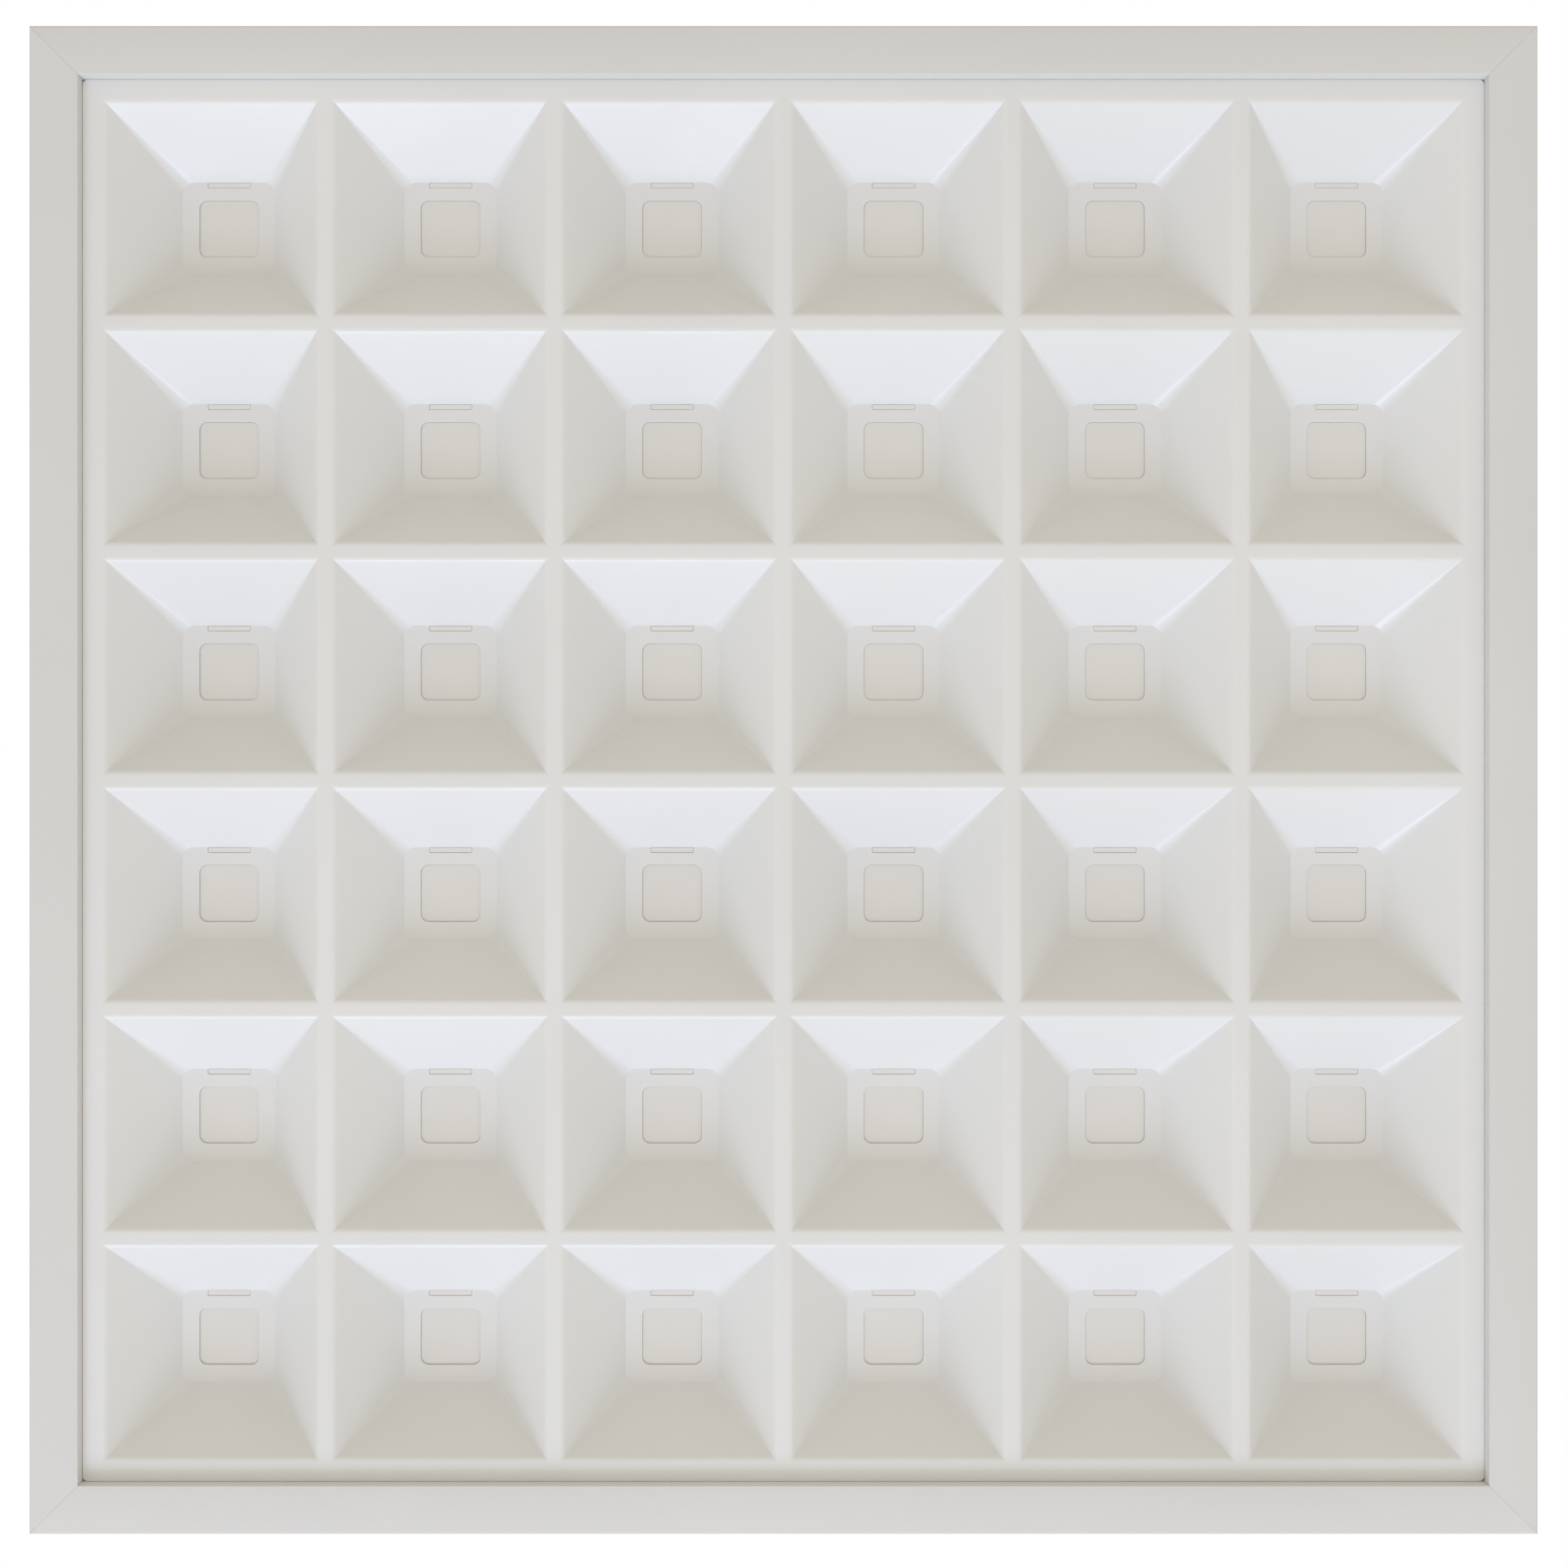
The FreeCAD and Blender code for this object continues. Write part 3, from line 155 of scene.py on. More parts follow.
class Builder:
    """Collects rings and faces, and makes one mesh object of them."""

    def __init__(self, name):
        self.name = name
        self.points = []
        self.faces = []

    def ring_faces(self, rings, closed=False):
        """Quads between neighbouring rings of equal length."""
        count = len(rings[0])
        start = len(self.points)
        for ring in rings:
            self.points.extend(ring)
        pairs = list(range(len(rings) - 1)) + ([len(rings) - 1] if closed else [])
        for r in pairs:
            a = start + r * count
            b = start + ((r + 1) % len(rings)) * count
            for i in range(count):
                j = (i + 1) % count
                self.faces.append((a + i, a + j, b + j, b + i))

    def cap(self, ring):
        """One face over a ring."""
        start = len(self.points)
        self.points.extend(ring)
        self.faces.append(tuple(range(start, start + len(ring))))

    def solid(self, rings):
        """A closed form through rings, with a face over each end."""
        self.ring_faces(rings)
        self.cap(rings[0])
        self.cap(rings[-1])

    def make(self, material, smooth_angle=35.0):
        """The finished object, with consistent normals and edges sharper than the angle left crisp."""
        mesh = bpy.data.meshes.new(self.name)
        bm = bmesh.new()
        verts = [bm.verts.new(p) for p in self.points]
        for face in self.faces:
            kept = []
            for i in face:
                if not kept or (verts[i].co - verts[kept[-1]].co).length > 1e-7:
                    kept.append(i)
            if len(kept) > 1 and (verts[kept[0]].co - verts[kept[-1]].co).length <= 1e-7:
                kept.pop()
            if len(kept) > 2:
                bm.faces.new([verts[i] for i in kept])
        bmesh.ops.remove_doubles(bm, verts=bm.verts, dist=1e-6)
        bmesh.ops.dissolve_degenerate(bm, edges=bm.edges, dist=1e-7)
        bmesh.ops.recalc_face_normals(bm, faces=bm.faces)
        limit = math.radians(smooth_angle)
        for face in bm.faces:
            face.smooth = True
        for edge in bm.edges:
            edge.smooth = len(edge.link_faces) == 2 and edge.calc_face_angle(0) < limit
        bm.to_mesh(mesh)
        bm.free()
        piece = bpy.data.objects.new(self.name, mesh)
        bpy.context.scene.collection.objects.link(piece)
        mesh.materials.append(material)
        return piece


def finish_piece(piece, body, slot, *nodes):
    """Puts a piece on its body and lets it stand for CAD nodes, which it hides; slot is not used."""
    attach(piece, body)
    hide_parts(*nodes)
    return piece


# ---- Materials ------------------------------------------------------------------------------
def link(tree, output, target):
    tree.links.new(output, target)


def surface(name, colour, roughness, metallic=0.0, specular=0.5, mottle=(6.0, 0.02), grain=(1500.0, 0.03),
            wear=(40.0, 0.05)):
    """A material with slight changes of colour and gloss and a fine grain.

    mottle is how often per metre the colour wanders and how far. grain says the same for the fine bump,
    and wear for the roughness.
    """
    material = bpy.data.materials.new(name)
    material.use_nodes = True
    tree = material.node_tree
    shader = tree.nodes["Principled BSDF"]
    shader.inputs["Metallic"].default_value = metallic
    shader.inputs["Specular IOR Level"].default_value = specular
    place = tree.nodes.new("ShaderNodeTexCoord").outputs["Object"]

    patches = tree.nodes.new("ShaderNodeTexNoise")
    patches.inputs["Scale"].default_value = mottle[0]
    patches.inputs["Detail"].default_value = 4.0
    link(tree, place, patches.inputs["Vector"])
    ramp = tree.nodes.new("ShaderNodeValToRGB")
    ramp.color_ramp.elements[0].position = 0.3
    ramp.color_ramp.elements[1].position = 0.7
    ramp.color_ramp.elements[0].color = [c * (1 - mottle[1]) for c in colour] + [1]
    ramp.color_ramp.elements[1].color = [min(1.0, c * (1 + mottle[1])) for c in colour] + [1]
    link(tree, patches.outputs["Fac"], ramp.inputs["Fac"])
    link(tree, ramp.outputs["Color"], shader.inputs["Base Color"])

    rubbing = tree.nodes.new("ShaderNodeTexNoise")
    rubbing.inputs["Scale"].default_value = wear[0]
    rubbing.inputs["Detail"].default_value = 5.0
    link(tree, place, rubbing.inputs["Vector"])
    spread = tree.nodes.new("ShaderNodeMapRange")
    spread.inputs["From Min"].default_value = 0.3
    spread.inputs["From Max"].default_value = 0.7
    spread.inputs["To Min"].default_value = max(0.02, roughness - wear[1])
    spread.inputs["To Max"].default_value = min(1.0, roughness + wear[1])
    link(tree, rubbing.outputs["Fac"], spread.inputs["Value"])
    link(tree, spread.outputs["Result"], shader.inputs["Roughness"])

    fine = tree.nodes.new("ShaderNodeTexNoise")
    fine.inputs["Scale"].default_value = grain[0]
    fine.inputs["Detail"].default_value = 3.0
    link(tree, place, fine.inputs["Vector"])
    bump = tree.nodes.new("ShaderNodeBump")
    bump.inputs["Strength"].default_value = grain[1]
    bump.inputs["Distance"].default_value = 0.0002
    link(tree, fine.outputs["Fac"], bump.inputs["Height"])
    link(tree, bump.outputs["Normal"], shader.inputs["Normal"])
    return material


MATERIALS = {
    "trim_paint": surface("trim_powder_coat", (0.73, 0.72, 0.705), 0.72, specular=0.22,
                          grain=(1800.0, 0.12)),
    "reflector_white": surface("reflector_moulding", (0.80, 0.797, 0.785), 0.36, grain=(2600.0, 0.05)),
    "holder_white": surface("holder_moulding", (0.80, 0.79, 0.775), 0.55, grain=(2600.0, 0.06)),
    "lens_opal": surface("opal_lens", (0.80, 0.778, 0.745), 0.42, grain=(3000.0, 0.03)),
    "board_white": surface("solder_mask", (0.80, 0.80, 0.78), 0.35),
    "led_phosphor": surface("led_phosphor", (0.85, 0.66, 0.14), 0.5),
    "housing_steel": surface("coated_sheet", (0.70, 0.70, 0.69), 0.45, grain=(1600.0, 0.08),
                             mottle=(3.0, 0.02)),
    "plain_steel": surface("galvanised_sheet", (0.56, 0.57, 0.58), 0.4, metallic=1.0,
                           mottle=(90.0, 0.10)),
    "zinc_steel": surface("zinc_plate", (0.60, 0.61, 0.63), 0.3, metallic=1.0, mottle=(60.0, 0.06)),
    "spring_steel": surface("spring_steel", (0.52, 0.53, 0.55), 0.3, metallic=1.0, mottle=(50.0, 0.05)),
    "driver_case": surface("driver_lacquer", (0.76, 0.76, 0.75), 0.4),
    "connector_nylon": surface("natural_nylon", (0.74, 0.73, 0.68), 0.45),
    "black_rubber": surface("black_rubber", (0.035, 0.035, 0.035), 0.65, grain=(2200.0, 0.2)),
    "lead_brown": surface("brown_insulation", (0.16, 0.06, 0.025), 0.42),
    "lead_blue": surface("blue_insulation", (0.03, 0.10, 0.42), 0.42),
    "lead_green": surface("green_insulation", (0.10, 0.34, 0.05), 0.42),
    "lead_red": surface("red_insulation", (0.50, 0.03, 0.025), 0.42),
    "lead_black": surface("black_insulation", (0.02, 0.02, 0.02), 0.42),
}

for part in frame["record"]["subparts"]:
    node = NODES[part["node"]]
    node.data.materials.clear()
    node.data.materials.append(MATERIALS[part["material_slot"]])


# ---- Trim rails -----------------------------------------------------------------------------
MITRE = 0.03 * MM
FLANGE = HALF - WEB


def trim_section():
    """The rail's section as inset from the trim's outer edge and height, room side first."""
    edge, inner, hook_lip = 1.0 * MM, 0.35 * MM, 1.2 * MM
    points = []
    for i in range(6):
        angle = math.radians(18 * i)
        points.append((edge - edge * math.cos(angle), edge - edge * math.sin(angle)))
    for i in range(4):
        angle = math.radians(30 * i)
        points.append((FLANGE - inner + inner * math.sin(angle), inner - inner * math.cos(angle)))
    web, seat, channel, hook, lip = (x * MM for x in (17.75, 10.25, 7.6, 6.4, 1.2))
    plate, under, hook_low, hook_high, lip_top = (z * MM for z in (1.5, 32.0, 3.9, 4.9, 4.0))
    points += [
        (FLANGE, WEB_TOP), (seat, WEB_TOP), (seat, under), (web, under), (web, hook_high),
        (web - hook_lip, hook_high), (web - hook_lip, hook_low), (web, hook_low), (web, plate),
        (channel, plate), (channel, hook_low), (channel + hook_lip, hook_low),
        (channel + hook_lip, hook_high), (hook, hook_high), (hook, plate), (lip, plate), (lip, lip_top),
        (0.0, lip_top),
    ]
    return points


def trim_rail(side, quarters):
    """One mitred rail; the front one lies along X at -Y."""
    turn = Matrix.Rotation(math.radians(90 * quarters), 3, "Z")
    build = Builder(f"trim_moulding_{side}")
    ends = []
    for way in (-1, 1):
        reach = [(way * (HALF - inset - MITRE), inset - HALF, z) for inset, z in trim_section()]
        ends.append([tuple(turn @ Vector(point)) for point in reach])
    build.solid(ends)
    finish_piece(build.make(MATERIALS["trim_paint"]), "fitting", "trim_paint", f"trim_rail_{side}")


for quarters, side in enumerate(("front", "right", "back", "left")):
    trim_rail(side, quarters)

# ---- Reflector ------------------------------------------------------------------------------
PROFILE_STEPS = 8            # rings over a cup's shoulder, and again down its wall


def cup_profile():
    """Half-width, corner radius and height of each ring, from the rib's face to the cup's throat."""
    depth = THROAT_Z - FACE_Z
    slope = math.atan2(depth, OPENING - THROAT)
    centre = OPENING + RIB_EDGE * math.tan(slope / 2)
    rings = []
    for i in range(PROFILE_STEPS + 1):
        angle = slope * i / PROFILE_STEPS
        level = FACE_Z + RIB_EDGE * (1 - math.cos(angle))
        rings.append((centre - RIB_EDGE * math.sin(angle), SHARP_RADIUS, level))
    foot_half, _, foot_z = rings[-1]
    for i in range(1, PROFILE_STEPS + 1):
        share = i / PROFILE_STEPS
        half = foot_half + (THROAT - foot_half) * share
        radius = SHARP_RADIUS + (THROAT_RADIUS - SHARP_RADIUS) * share
        rings.append((half, radius, foot_z + (THROAT_Z - foot_z) * share))
    return rings


def reflector_panel():
    """The one-piece moulding with its cups, skirt and bosses."""
    build = Builder("reflector_panel")
    rings = cup_profile()
    back_z = FACE_Z + FACE_THICKNESS
    taper = (OPENING - THROAT) / (THROAT_Z - FACE_Z)
    half_cell = PITCH / 2
    for cy in ROWS:
        for cx in ROWS:
            loops = [square(half_cell, FACE_Z, cx, cy)]
            loops += [softened(half, radius, z, cx, cy) for half, radius, z in rings]
            outer = THROAT + CUP_WALL
            base = outer + taper * (THROAT_Z - back_z)
            loops.append(softened(outer, SHARP_RADIUS, THROAT_Z, cx, cy))
            loops.append(softened(base, SHARP_RADIUS, back_z, cx, cy))
            loops.append(square(half_cell, back_z, cx, cy))
            build.ring_faces(loops)
    grid = 3 * PITCH
    skirt_top = FACE_Z + SKIRT_HEIGHT
    inner = PANEL - SKIRT_THICKNESS
    rim = [square(grid, FACE_Z)]
    for angle in quarter_turn(5):
        half = PANEL - PANEL_EDGE * (1 - math.sin(angle))
        rim.append(softened(half, PANEL_CORNER, FACE_Z + PANEL_EDGE * (1 - math.cos(angle))))
    rim.append(softened(PANEL, PANEL_CORNER, skirt_top))
    rim.append(softened(inner, SHARP_RADIUS, skirt_top))
    rim.append(softened(inner, SHARP_RADIUS, back_z))
    rim.append(square(grid, back_z))
    build.ring_faces(rim)
    for x in BOSS_PLACES:
        for y in BOSS_PLACES:
            boss = [(BOSS_RADIUS, back_z - FACE_THICKNESS / 2), (BOSS_RADIUS, BOARD_TOP),
                    (BOSS_PILOT, BOARD_TOP), (BOSS_PILOT, BOARD_TOP - BOSS_PILOT_DEPTH)]
            build.solid([circle(radius, z, BOSS_SIDES, x, y) for radius, z in boss])
    finish_piece(build.make(MATERIALS["reflector_white"]), "fitting", "reflector_white", "reflector_grid")


reflector_panel()


# ---- Lens holders and lenses ----------------------------------------------------------------
def latch_y(cy):
    """The middle of a latch, at the edge of its throat."""
    return cy - THROAT + LATCH_LENGTH / 2 + LATCH_GAP


def lens_holder(number, cy):
    """A flat strip with a rounded window and a latch slot behind each cup."""
    name = f"lens_holder_{number}"
    low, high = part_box(name)
    build = Builder(f"window_strip_{number}")
    edge = WINDOW_EDGE
    slot_y = latch_y(cy)
    split = cy - (THROAT + WINDOW_Y) / 2 + LATCH_LENGTH / 2
    for cx in ROWS:
        x0 = max(low.x, cx - PITCH / 2)
        x1 = min(high.x, cx + PITCH / 2)
        for y0, y1, half_x, half_y, radius, middle in (
                (split, high.y, WINDOW_X, WINDOW_Y, WINDOW_RADIUS, cy),
                (low.y, split, LATCH_WIDTH / 2, LATCH_LENGTH / 2, 0.5 * MM, slot_y)):
            build.ring_faces([
                rectangle(x0, x1, y0, y1, low.z),
                outline(half_x + edge, half_y + edge, radius + edge, low.z, cx, middle),
                outline(half_x, half_y, radius, low.z + edge, cx, middle),
                outline(half_x, half_y, radius, high.z, cx, middle),
                rectangle(x0, x1, y0, y1, high.z),
            ])
    build.ring_faces([rectangle(low.x, high.x, low.y, high.y, z) for z in (low.z, high.z)])
    finish_piece(build.make(MATERIALS["holder_white"]), "fitting", "holder_white", name)


def lens_strip(number, cy):
    """The opal channel over one board, with a softly edged pad in each window."""
    name = f"lens_strip_{number}"
    low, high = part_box(name)
    front = HOLDER_TOP
    wall = LENS_WALL
    build = Builder(f"lens_channel_{number}")
    pad_x, pad_y = WINDOW_X - PAD_GAP, WINDOW_Y - PAD_GAP
    radius = WINDOW_RADIUS - PAD_GAP
    for cx in ROWS:
        x0 = max(low.x, cx - PITCH / 2)
        x1 = min(high.x, cx + PITCH / 2)
        loops = [rectangle(x0, x1, low.y, high.y, front), outline(pad_x, pad_y, radius, front, cx, cy)]
        for angle in quarter_turn(4):
            inset = PAD_EDGE * (1 - math.cos(angle))
            loops.append(outline(pad_x - inset, pad_y - inset, radius - inset,
                                 low.z + PAD_EDGE * (1 - math.sin(angle)), cx, cy))
        build.ring_faces(loops)
        build.cap(loops[-1])
        build.solid([outline(LATCH_WIDTH / 2 - LATCH_GAP, LATCH_LENGTH / 2 - LATCH_GAP, 0.4 * MM, z, cx,
                             latch_y(cy)) for z in (THROAT_Z + LATCH_DEPTH, front + wall / 2)])
    inside = (low.x + wall, high.x - wall, low.y + wall, high.y - wall)
    build.ring_faces([rectangle(low.x, high.x, low.y, high.y, z) for z in (front, high.z)] +
                     [rectangle(*inside, z) for z in (high.z, front + wall)])
    build.cap(rectangle(*inside, front + wall))
    finish_piece(build.make(MATERIALS["lens_opal"]), "fitting", "lens_opal", name)


for number, row_y in enumerate(ROWS, start=1):
    lens_holder(number, row_y)
    lens_strip(number, row_y)


# ---- Fasteners ------------------------------------------------------------------------------
# the angles at which a cross recess and the rings round it have their points
CROSS_STEPS = (0, 12, 28, 45, 62, 78)
CROSS_ANGLES = [math.radians(90 * quarter + step) for quarter in range(4) for step in CROSS_STEPS]


def fastener_ring(radius, z, place):
    """A level ring whose points match those of a cross recess."""
    return [(place[0] + radius * math.cos(a), place[1] + radius * math.sin(a), z) for a in CROSS_ANGLES]


def cross_ring(length, width, z, place):
    """The outline of a cross recess."""
    points = []
    for angle in CROSS_ANGLES:
        c, s = abs(math.cos(angle)) + 1e-9, abs(math.sin(angle)) + 1e-9
        reach = max(min(length / c, width / s), min(width / c, length / s))
        points.append((place[0] + reach * math.cos(angle), place[1] + reach * math.sin(angle), z))
    return points


def add_screw(build, place, seat, head_radius, head_height, shank_radius, shank_end, up=1):
    """A pan-head screw with a cross recess, its shank from the seat to a level.

    up is 1 where the head looks up, and -1 where it looks down.
    """
    rings = [fastener_ring(shank_radius, shank_end, place), fastener_ring(shank_radius, seat, place),
             fastener_ring(head_radius * 0.97, seat, place)]
    for rise, width in ((0.12, 1.0), (0.45, 0.98), (0.72, 0.9), (0.9, 0.76), (1.0, 0.6)):
        rings.append(fastener_ring(head_radius * width, seat + up * head_height * rise, place))
    top = seat + up * head_height
    length, arm = head_radius * 0.5, head_radius * 0.13
    rings.append(cross_ring(length, arm, top, place))
    rings.append(cross_ring(length * 0.55, arm * 0.7, top - up * head_height * 0.6, place))
    build.solid(rings)


def add_rivet(build, place, seat, head_radius, head_height, shank_radius, tail_radius):
    """A domed rivet with the small dimple that its pulled mandrel leaves, and its tail under the tray."""
    foot = BOARD_TOP - head_height
    top = seat + head_height
    shape = [(tail_radius * 0.8, foot), (tail_radius, foot + head_height / 2),
             (tail_radius * 0.9, BOARD_TOP), (shank_radius, BOARD_TOP), (shank_radius, seat),
             (head_radius, seat)]
    for angle in quarter_turn(7)[1:-1]:
        level = seat + head_height * (0.15 + 0.85 * math.sin(angle))
        shape.append((head_radius * math.cos(angle), level))
    shape += [(head_radius * 0.2, top), (head_radius * 0.17, top - head_height / 2)]
    build.solid([circle(radius, z, RIVET_SIDES, *place) for radius, z in shape])


def on_every_side(places):
    """The places of the front side, turned to all four sides."""
    quarters = ((1, 0), (0, 1), (-1, 0), (0, -1))
    return [(c * x - s * y, s * x + c * y) for c, s in quarters for x, y in places]


def level_grid(xs, ys):
    """Every pairing of the given x and y."""
    return [(x, y) for x in xs for y in ys]


def four_corners(x, y):
    """A place and its mirror images across both axes."""
    return level_grid((-x, x), (-y, y))


def screw_group(name, node, places, seat, head, shank_radius, shank_end, body="fitting", up=1):
    """All the screws of one node as one piece."""
    build = Builder(name)
    for place in places:
        add_screw(build, place, seat, head[0], head[1], shank_radius, shank_end, up)
    return finish_piece(build.make(MATERIALS["zinc_steel"], 30.0), body, "zinc_steel", node)


BOX_SHEET = 0.8 * MM
HANGER_SHEET = 1.5 * MM
BOX_FOOT_X = 52 * MM         # the rivets through the box's feet
HANGER_FOOT_X = 196 * MM
CLIP_PIVOT = (262 * MM, 190 * MM)
RIM_SCREW_X = (-0.18, 0.0, 0.18)
RIM_SCREW_Y = 14 * MM - HALF
BLOCK_Y = BOX_END - 33 * MM
EARTH = (32 * MM, BOX_END - 52 * MM)
CLAMP_Y = BOX_END - 14 * MM
DRIVER_LOW, DRIVER_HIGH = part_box("led_driver")
DRIVER_Y = (DRIVER_LOW.y + DRIVER_HIGH.y) / 2
DRIVER_HALF = 70 * MM
TAB_REACH = DRIVER_HALF + 5.5 * MM

# each group's seat, head radius and height, shank radius and shank end
screw_group("rim_screw_set", "rim_screws", on_every_side([(x, RIM_SCREW_Y) for x in RIM_SCREW_X]),
            RIM_TOP, (3.0 * MM, 1.8 * MM), 1.75 * MM, RIM_TOP - 5 * MM)
screw_group("boss_screw_set", "reflector_screws", level_grid(BOSS_PLACES, BOSS_PLACES),
            TRAY_TOP, (2.8 * MM, 1.8 * MM), 1.28 * MM, TRAY_TOP - 9 * MM)
screw_group("board_screw_set", "board_screws", level_grid(BOSS_PLACES, ROWS),
            BOARD_BOTTOM, (2.6 * MM, 1.6 * MM), 1.45 * MM, TRAY_TOP + 0.5 * MM, up=-1)
screw_group("driver_screw_pair", "driver_screws",
            [(s * 14 * MM, DRIVER_Y + s * TAB_REACH) for s in (-1, 1)],
            TRAY_TOP + 3.5 * MM, (3.2 * MM, 2.0 * MM), 1.75 * MM, BOARD_TOP)
screw_group("clamp_screw_pair", "clamp_screws", [(s * 11.4 * MM, CLAMP_Y) for s in (-1, 1)],
            TRAY_TOP + 3 * MM, (2.9 * MM, 2.0 * MM), 1.75 * MM, BOARD_TOP)
screw_group("earth_screw_fine", "earth_screw", [EARTH],
            TRAY_TOP + 1 * MM, (3.6 * MM, 2.4 * MM), 1.95 * MM, BOARD_TOP)
screw_group("captive_lid_screw", "lid_screw", [(39 * MM, 0.0)],
            LID_TOP, (4.0 * MM, 2.6 * MM), 1.75 * MM, LID_TOP - 7 * MM, "box_lid")


def sheet_rivets():
    """The blind rivets in the feet of the driver box and of the hanger brackets."""
    build = Builder("blind_rivets")
    sizes = (3 * MM, 0.9 * MM, 1.6 * MM, 2.3 * MM)
    for place in level_grid((-BOX_FOOT_X, BOX_FOOT_X), (-PITCH, 0.0, PITCH)):
        add_rivet(build, place, TRAY_TOP + BOX_SHEET, *sizes)
    for place in four_corners(HANGER_FOOT_X, 2 * PITCH):
        add_rivet(build, place, TRAY_TOP + HANGER_SHEET, *sizes)
    finish_piece(build.make(MATERIALS["zinc_steel"]), "fitting", "zinc_steel", "sheet_rivets")


def clip_rivets():
    """The shouldered rivets on which the grid clips turn."""
    build = Builder("pivot_rivets")
    head_height = 1.4 * MM
    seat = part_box("clip_rivets")[1].z - head_height
    for place in four_corners(*CLIP_PIVOT):
        add_rivet(build, place, seat, 4 * MM, head_height, 2.0 * MM, 3.4 * MM)
    finish_piece(build.make(MATERIALS["zinc_steel"]), "fitting", "zinc_steel", "clip_rivets")


sheet_rivets()
clip_rivets()


# ---- Housing tray ---------------------------------------------------------------------------
LED_BUSH = (12 * MM, -90.85 * MM)
LED_BUSH_NECK = 4.8 * MM
PAN = 277 * MM               # half of the pan across its walls
PAN_CORNER = 10 * MM
PAN_EDGE = 3.5 * MM
PAN_FOOT = 0.7 * MM          # radius from the wall into the rim
RIM_CORNER = 3 * MM
RIM_EDGE = 0.2 * MM
PAN_GRID = 264 * MM          # half of the flat back that is divided into fields
BEAD_X = (-150 * MM, -90 * MM, 90 * MM, 150 * MM)
BEAD_FIELD = 30 * MM         # half of a bead's field across
BEAD_HALF_X, BEAD_HALF_Y = 8 * MM, 190 * MM
BEAD_RISE = 1.6 * MM
BEAD_FOOT = 0.3 * MM
BEAD_EDGE = 1.3 * MM


def bead_rings(half_x, half_y, z, x):
    """A long bead that rises from a level through a soft foot and a rounded edge."""
    steps = [(0.6 * MM, 0.0), (0.2 * MM, 0.08 * MM), (0.03 * MM, BEAD_FOOT)]
    for angle in quarter_turn(5)[1:]:
        rise = BEAD_FOOT + (BEAD_RISE - BEAD_FOOT) * math.sin(angle)
        steps.append((-BEAD_EDGE * (1 - math.cos(angle)), rise))
    return [outline(half_x + grow, half_y + grow, half_x + grow, z + rise, x) for grow, rise in steps]


def pan_edge_rings(half, corner, radius, top):
    """The rings from the flat back outward over the rounded edge to the wall."""
    rings = []
    for angle in reversed(quarter_turn(6)):
        inset = radius * (1 - math.cos(angle))
        rings.append(softened(half - inset, corner - inset, top - radius * (1 - math.sin(angle))))
    return rings


def pressed_tray():
    """The pressed back pan with its rim, rounded walls and four beads."""
    low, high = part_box("housing_tray")
    build = Builder("pressed_tray")
    rim = high.x
    inner = PAN - TRAY_SHEET
    inner_corner = PAN_CORNER - TRAY_SHEET
    loops = [square(PAN_GRID, TRAY_TOP), *pan_edge_rings(PAN, PAN_CORNER, PAN_EDGE, TRAY_TOP)]
    for angle in quarter_turn(3):
        grow = PAN_FOOT * (1 - math.cos(angle))
        loops.append(softened(PAN + grow, PAN_CORNER + grow, RIM_TOP + PAN_FOOT * (1 - math.sin(angle))))
    loops += [
        softened(rim - RIM_EDGE, RIM_CORNER - RIM_EDGE, RIM_TOP),
        softened(rim, RIM_CORNER, RIM_TOP - RIM_EDGE),
        softened(rim, RIM_CORNER, low.z),
        softened(inner, inner_corner, low.z),
        *reversed(pan_edge_rings(inner, inner_corner, PAN_EDGE - TRAY_SHEET, BOARD_TOP)),
        square(PAN_GRID, BOARD_TOP),
    ]
    build.ring_faces(loops)
    for x in BEAD_X:
        for z, shrink in ((TRAY_TOP, 0.0), (BOARD_TOP, TRAY_SHEET)):
            rings = bead_rings(BEAD_HALF_X - shrink, BEAD_HALF_Y - shrink, z, x)
            field = rectangle(x - BEAD_FIELD, x + BEAD_FIELD, -PAN_GRID, PAN_GRID, z)
            build.ring_faces([field] + rings)
            build.cap(rings[-1])
    for x0, x1 in ((-PAN_GRID, BEAD_X[0] - BEAD_FIELD), (BEAD_X[3] + BEAD_FIELD, PAN_GRID)):
        for z in (TRAY_TOP, BOARD_TOP):
            build.cap([(x0, -PAN_GRID, z), (x1, -PAN_GRID, z), (x1, PAN_GRID, z), (x0, PAN_GRID, z)])
    middle = (BEAD_X[1] + BEAD_FIELD, BEAD_X[2] - BEAD_FIELD, -PAN_GRID, PAN_GRID)
    build.ring_faces([rectangle(*middle, TRAY_TOP), round_hole(LED_BUSH_NECK, TRAY_TOP, *LED_BUSH),
                      round_hole(LED_BUSH_NECK, BOARD_TOP, *LED_BUSH), rectangle(*middle, BOARD_TOP)])
    finish_piece(build.make(MATERIALS["housing_steel"]), "fitting", "housing_steel", "housing_tray")


pressed_tray()

# ---- Wiring and small turned pieces ---------------------------------------------------------
def upright_ring(radius, along, place):
    """A level ring; along is its height over the place."""
    return circle(radius, place[2] + along, TURNED_SIDES, place[0], place[1])


def crosswise_ring(radius, along, place):
    """A ring about an axis along Y; along is its distance from the place."""
    return [(x, place[1] + along, place[2] + z) for x, z, _ in circle(radius, 0.0, TURNED_SIDES, place[0])]


def soft_disc(reach, start, end, edge):
    """The rim of a disc with two soft edges, as radius and distance along its axis."""
    turns = quarter_turn(4)
    first = [(reach - edge + edge * math.sin(t), start + edge - edge * math.cos(t)) for t in turns]
    return first + [(reach - edge + edge * math.cos(t), end - edge + edge * math.sin(t)) for t in turns]


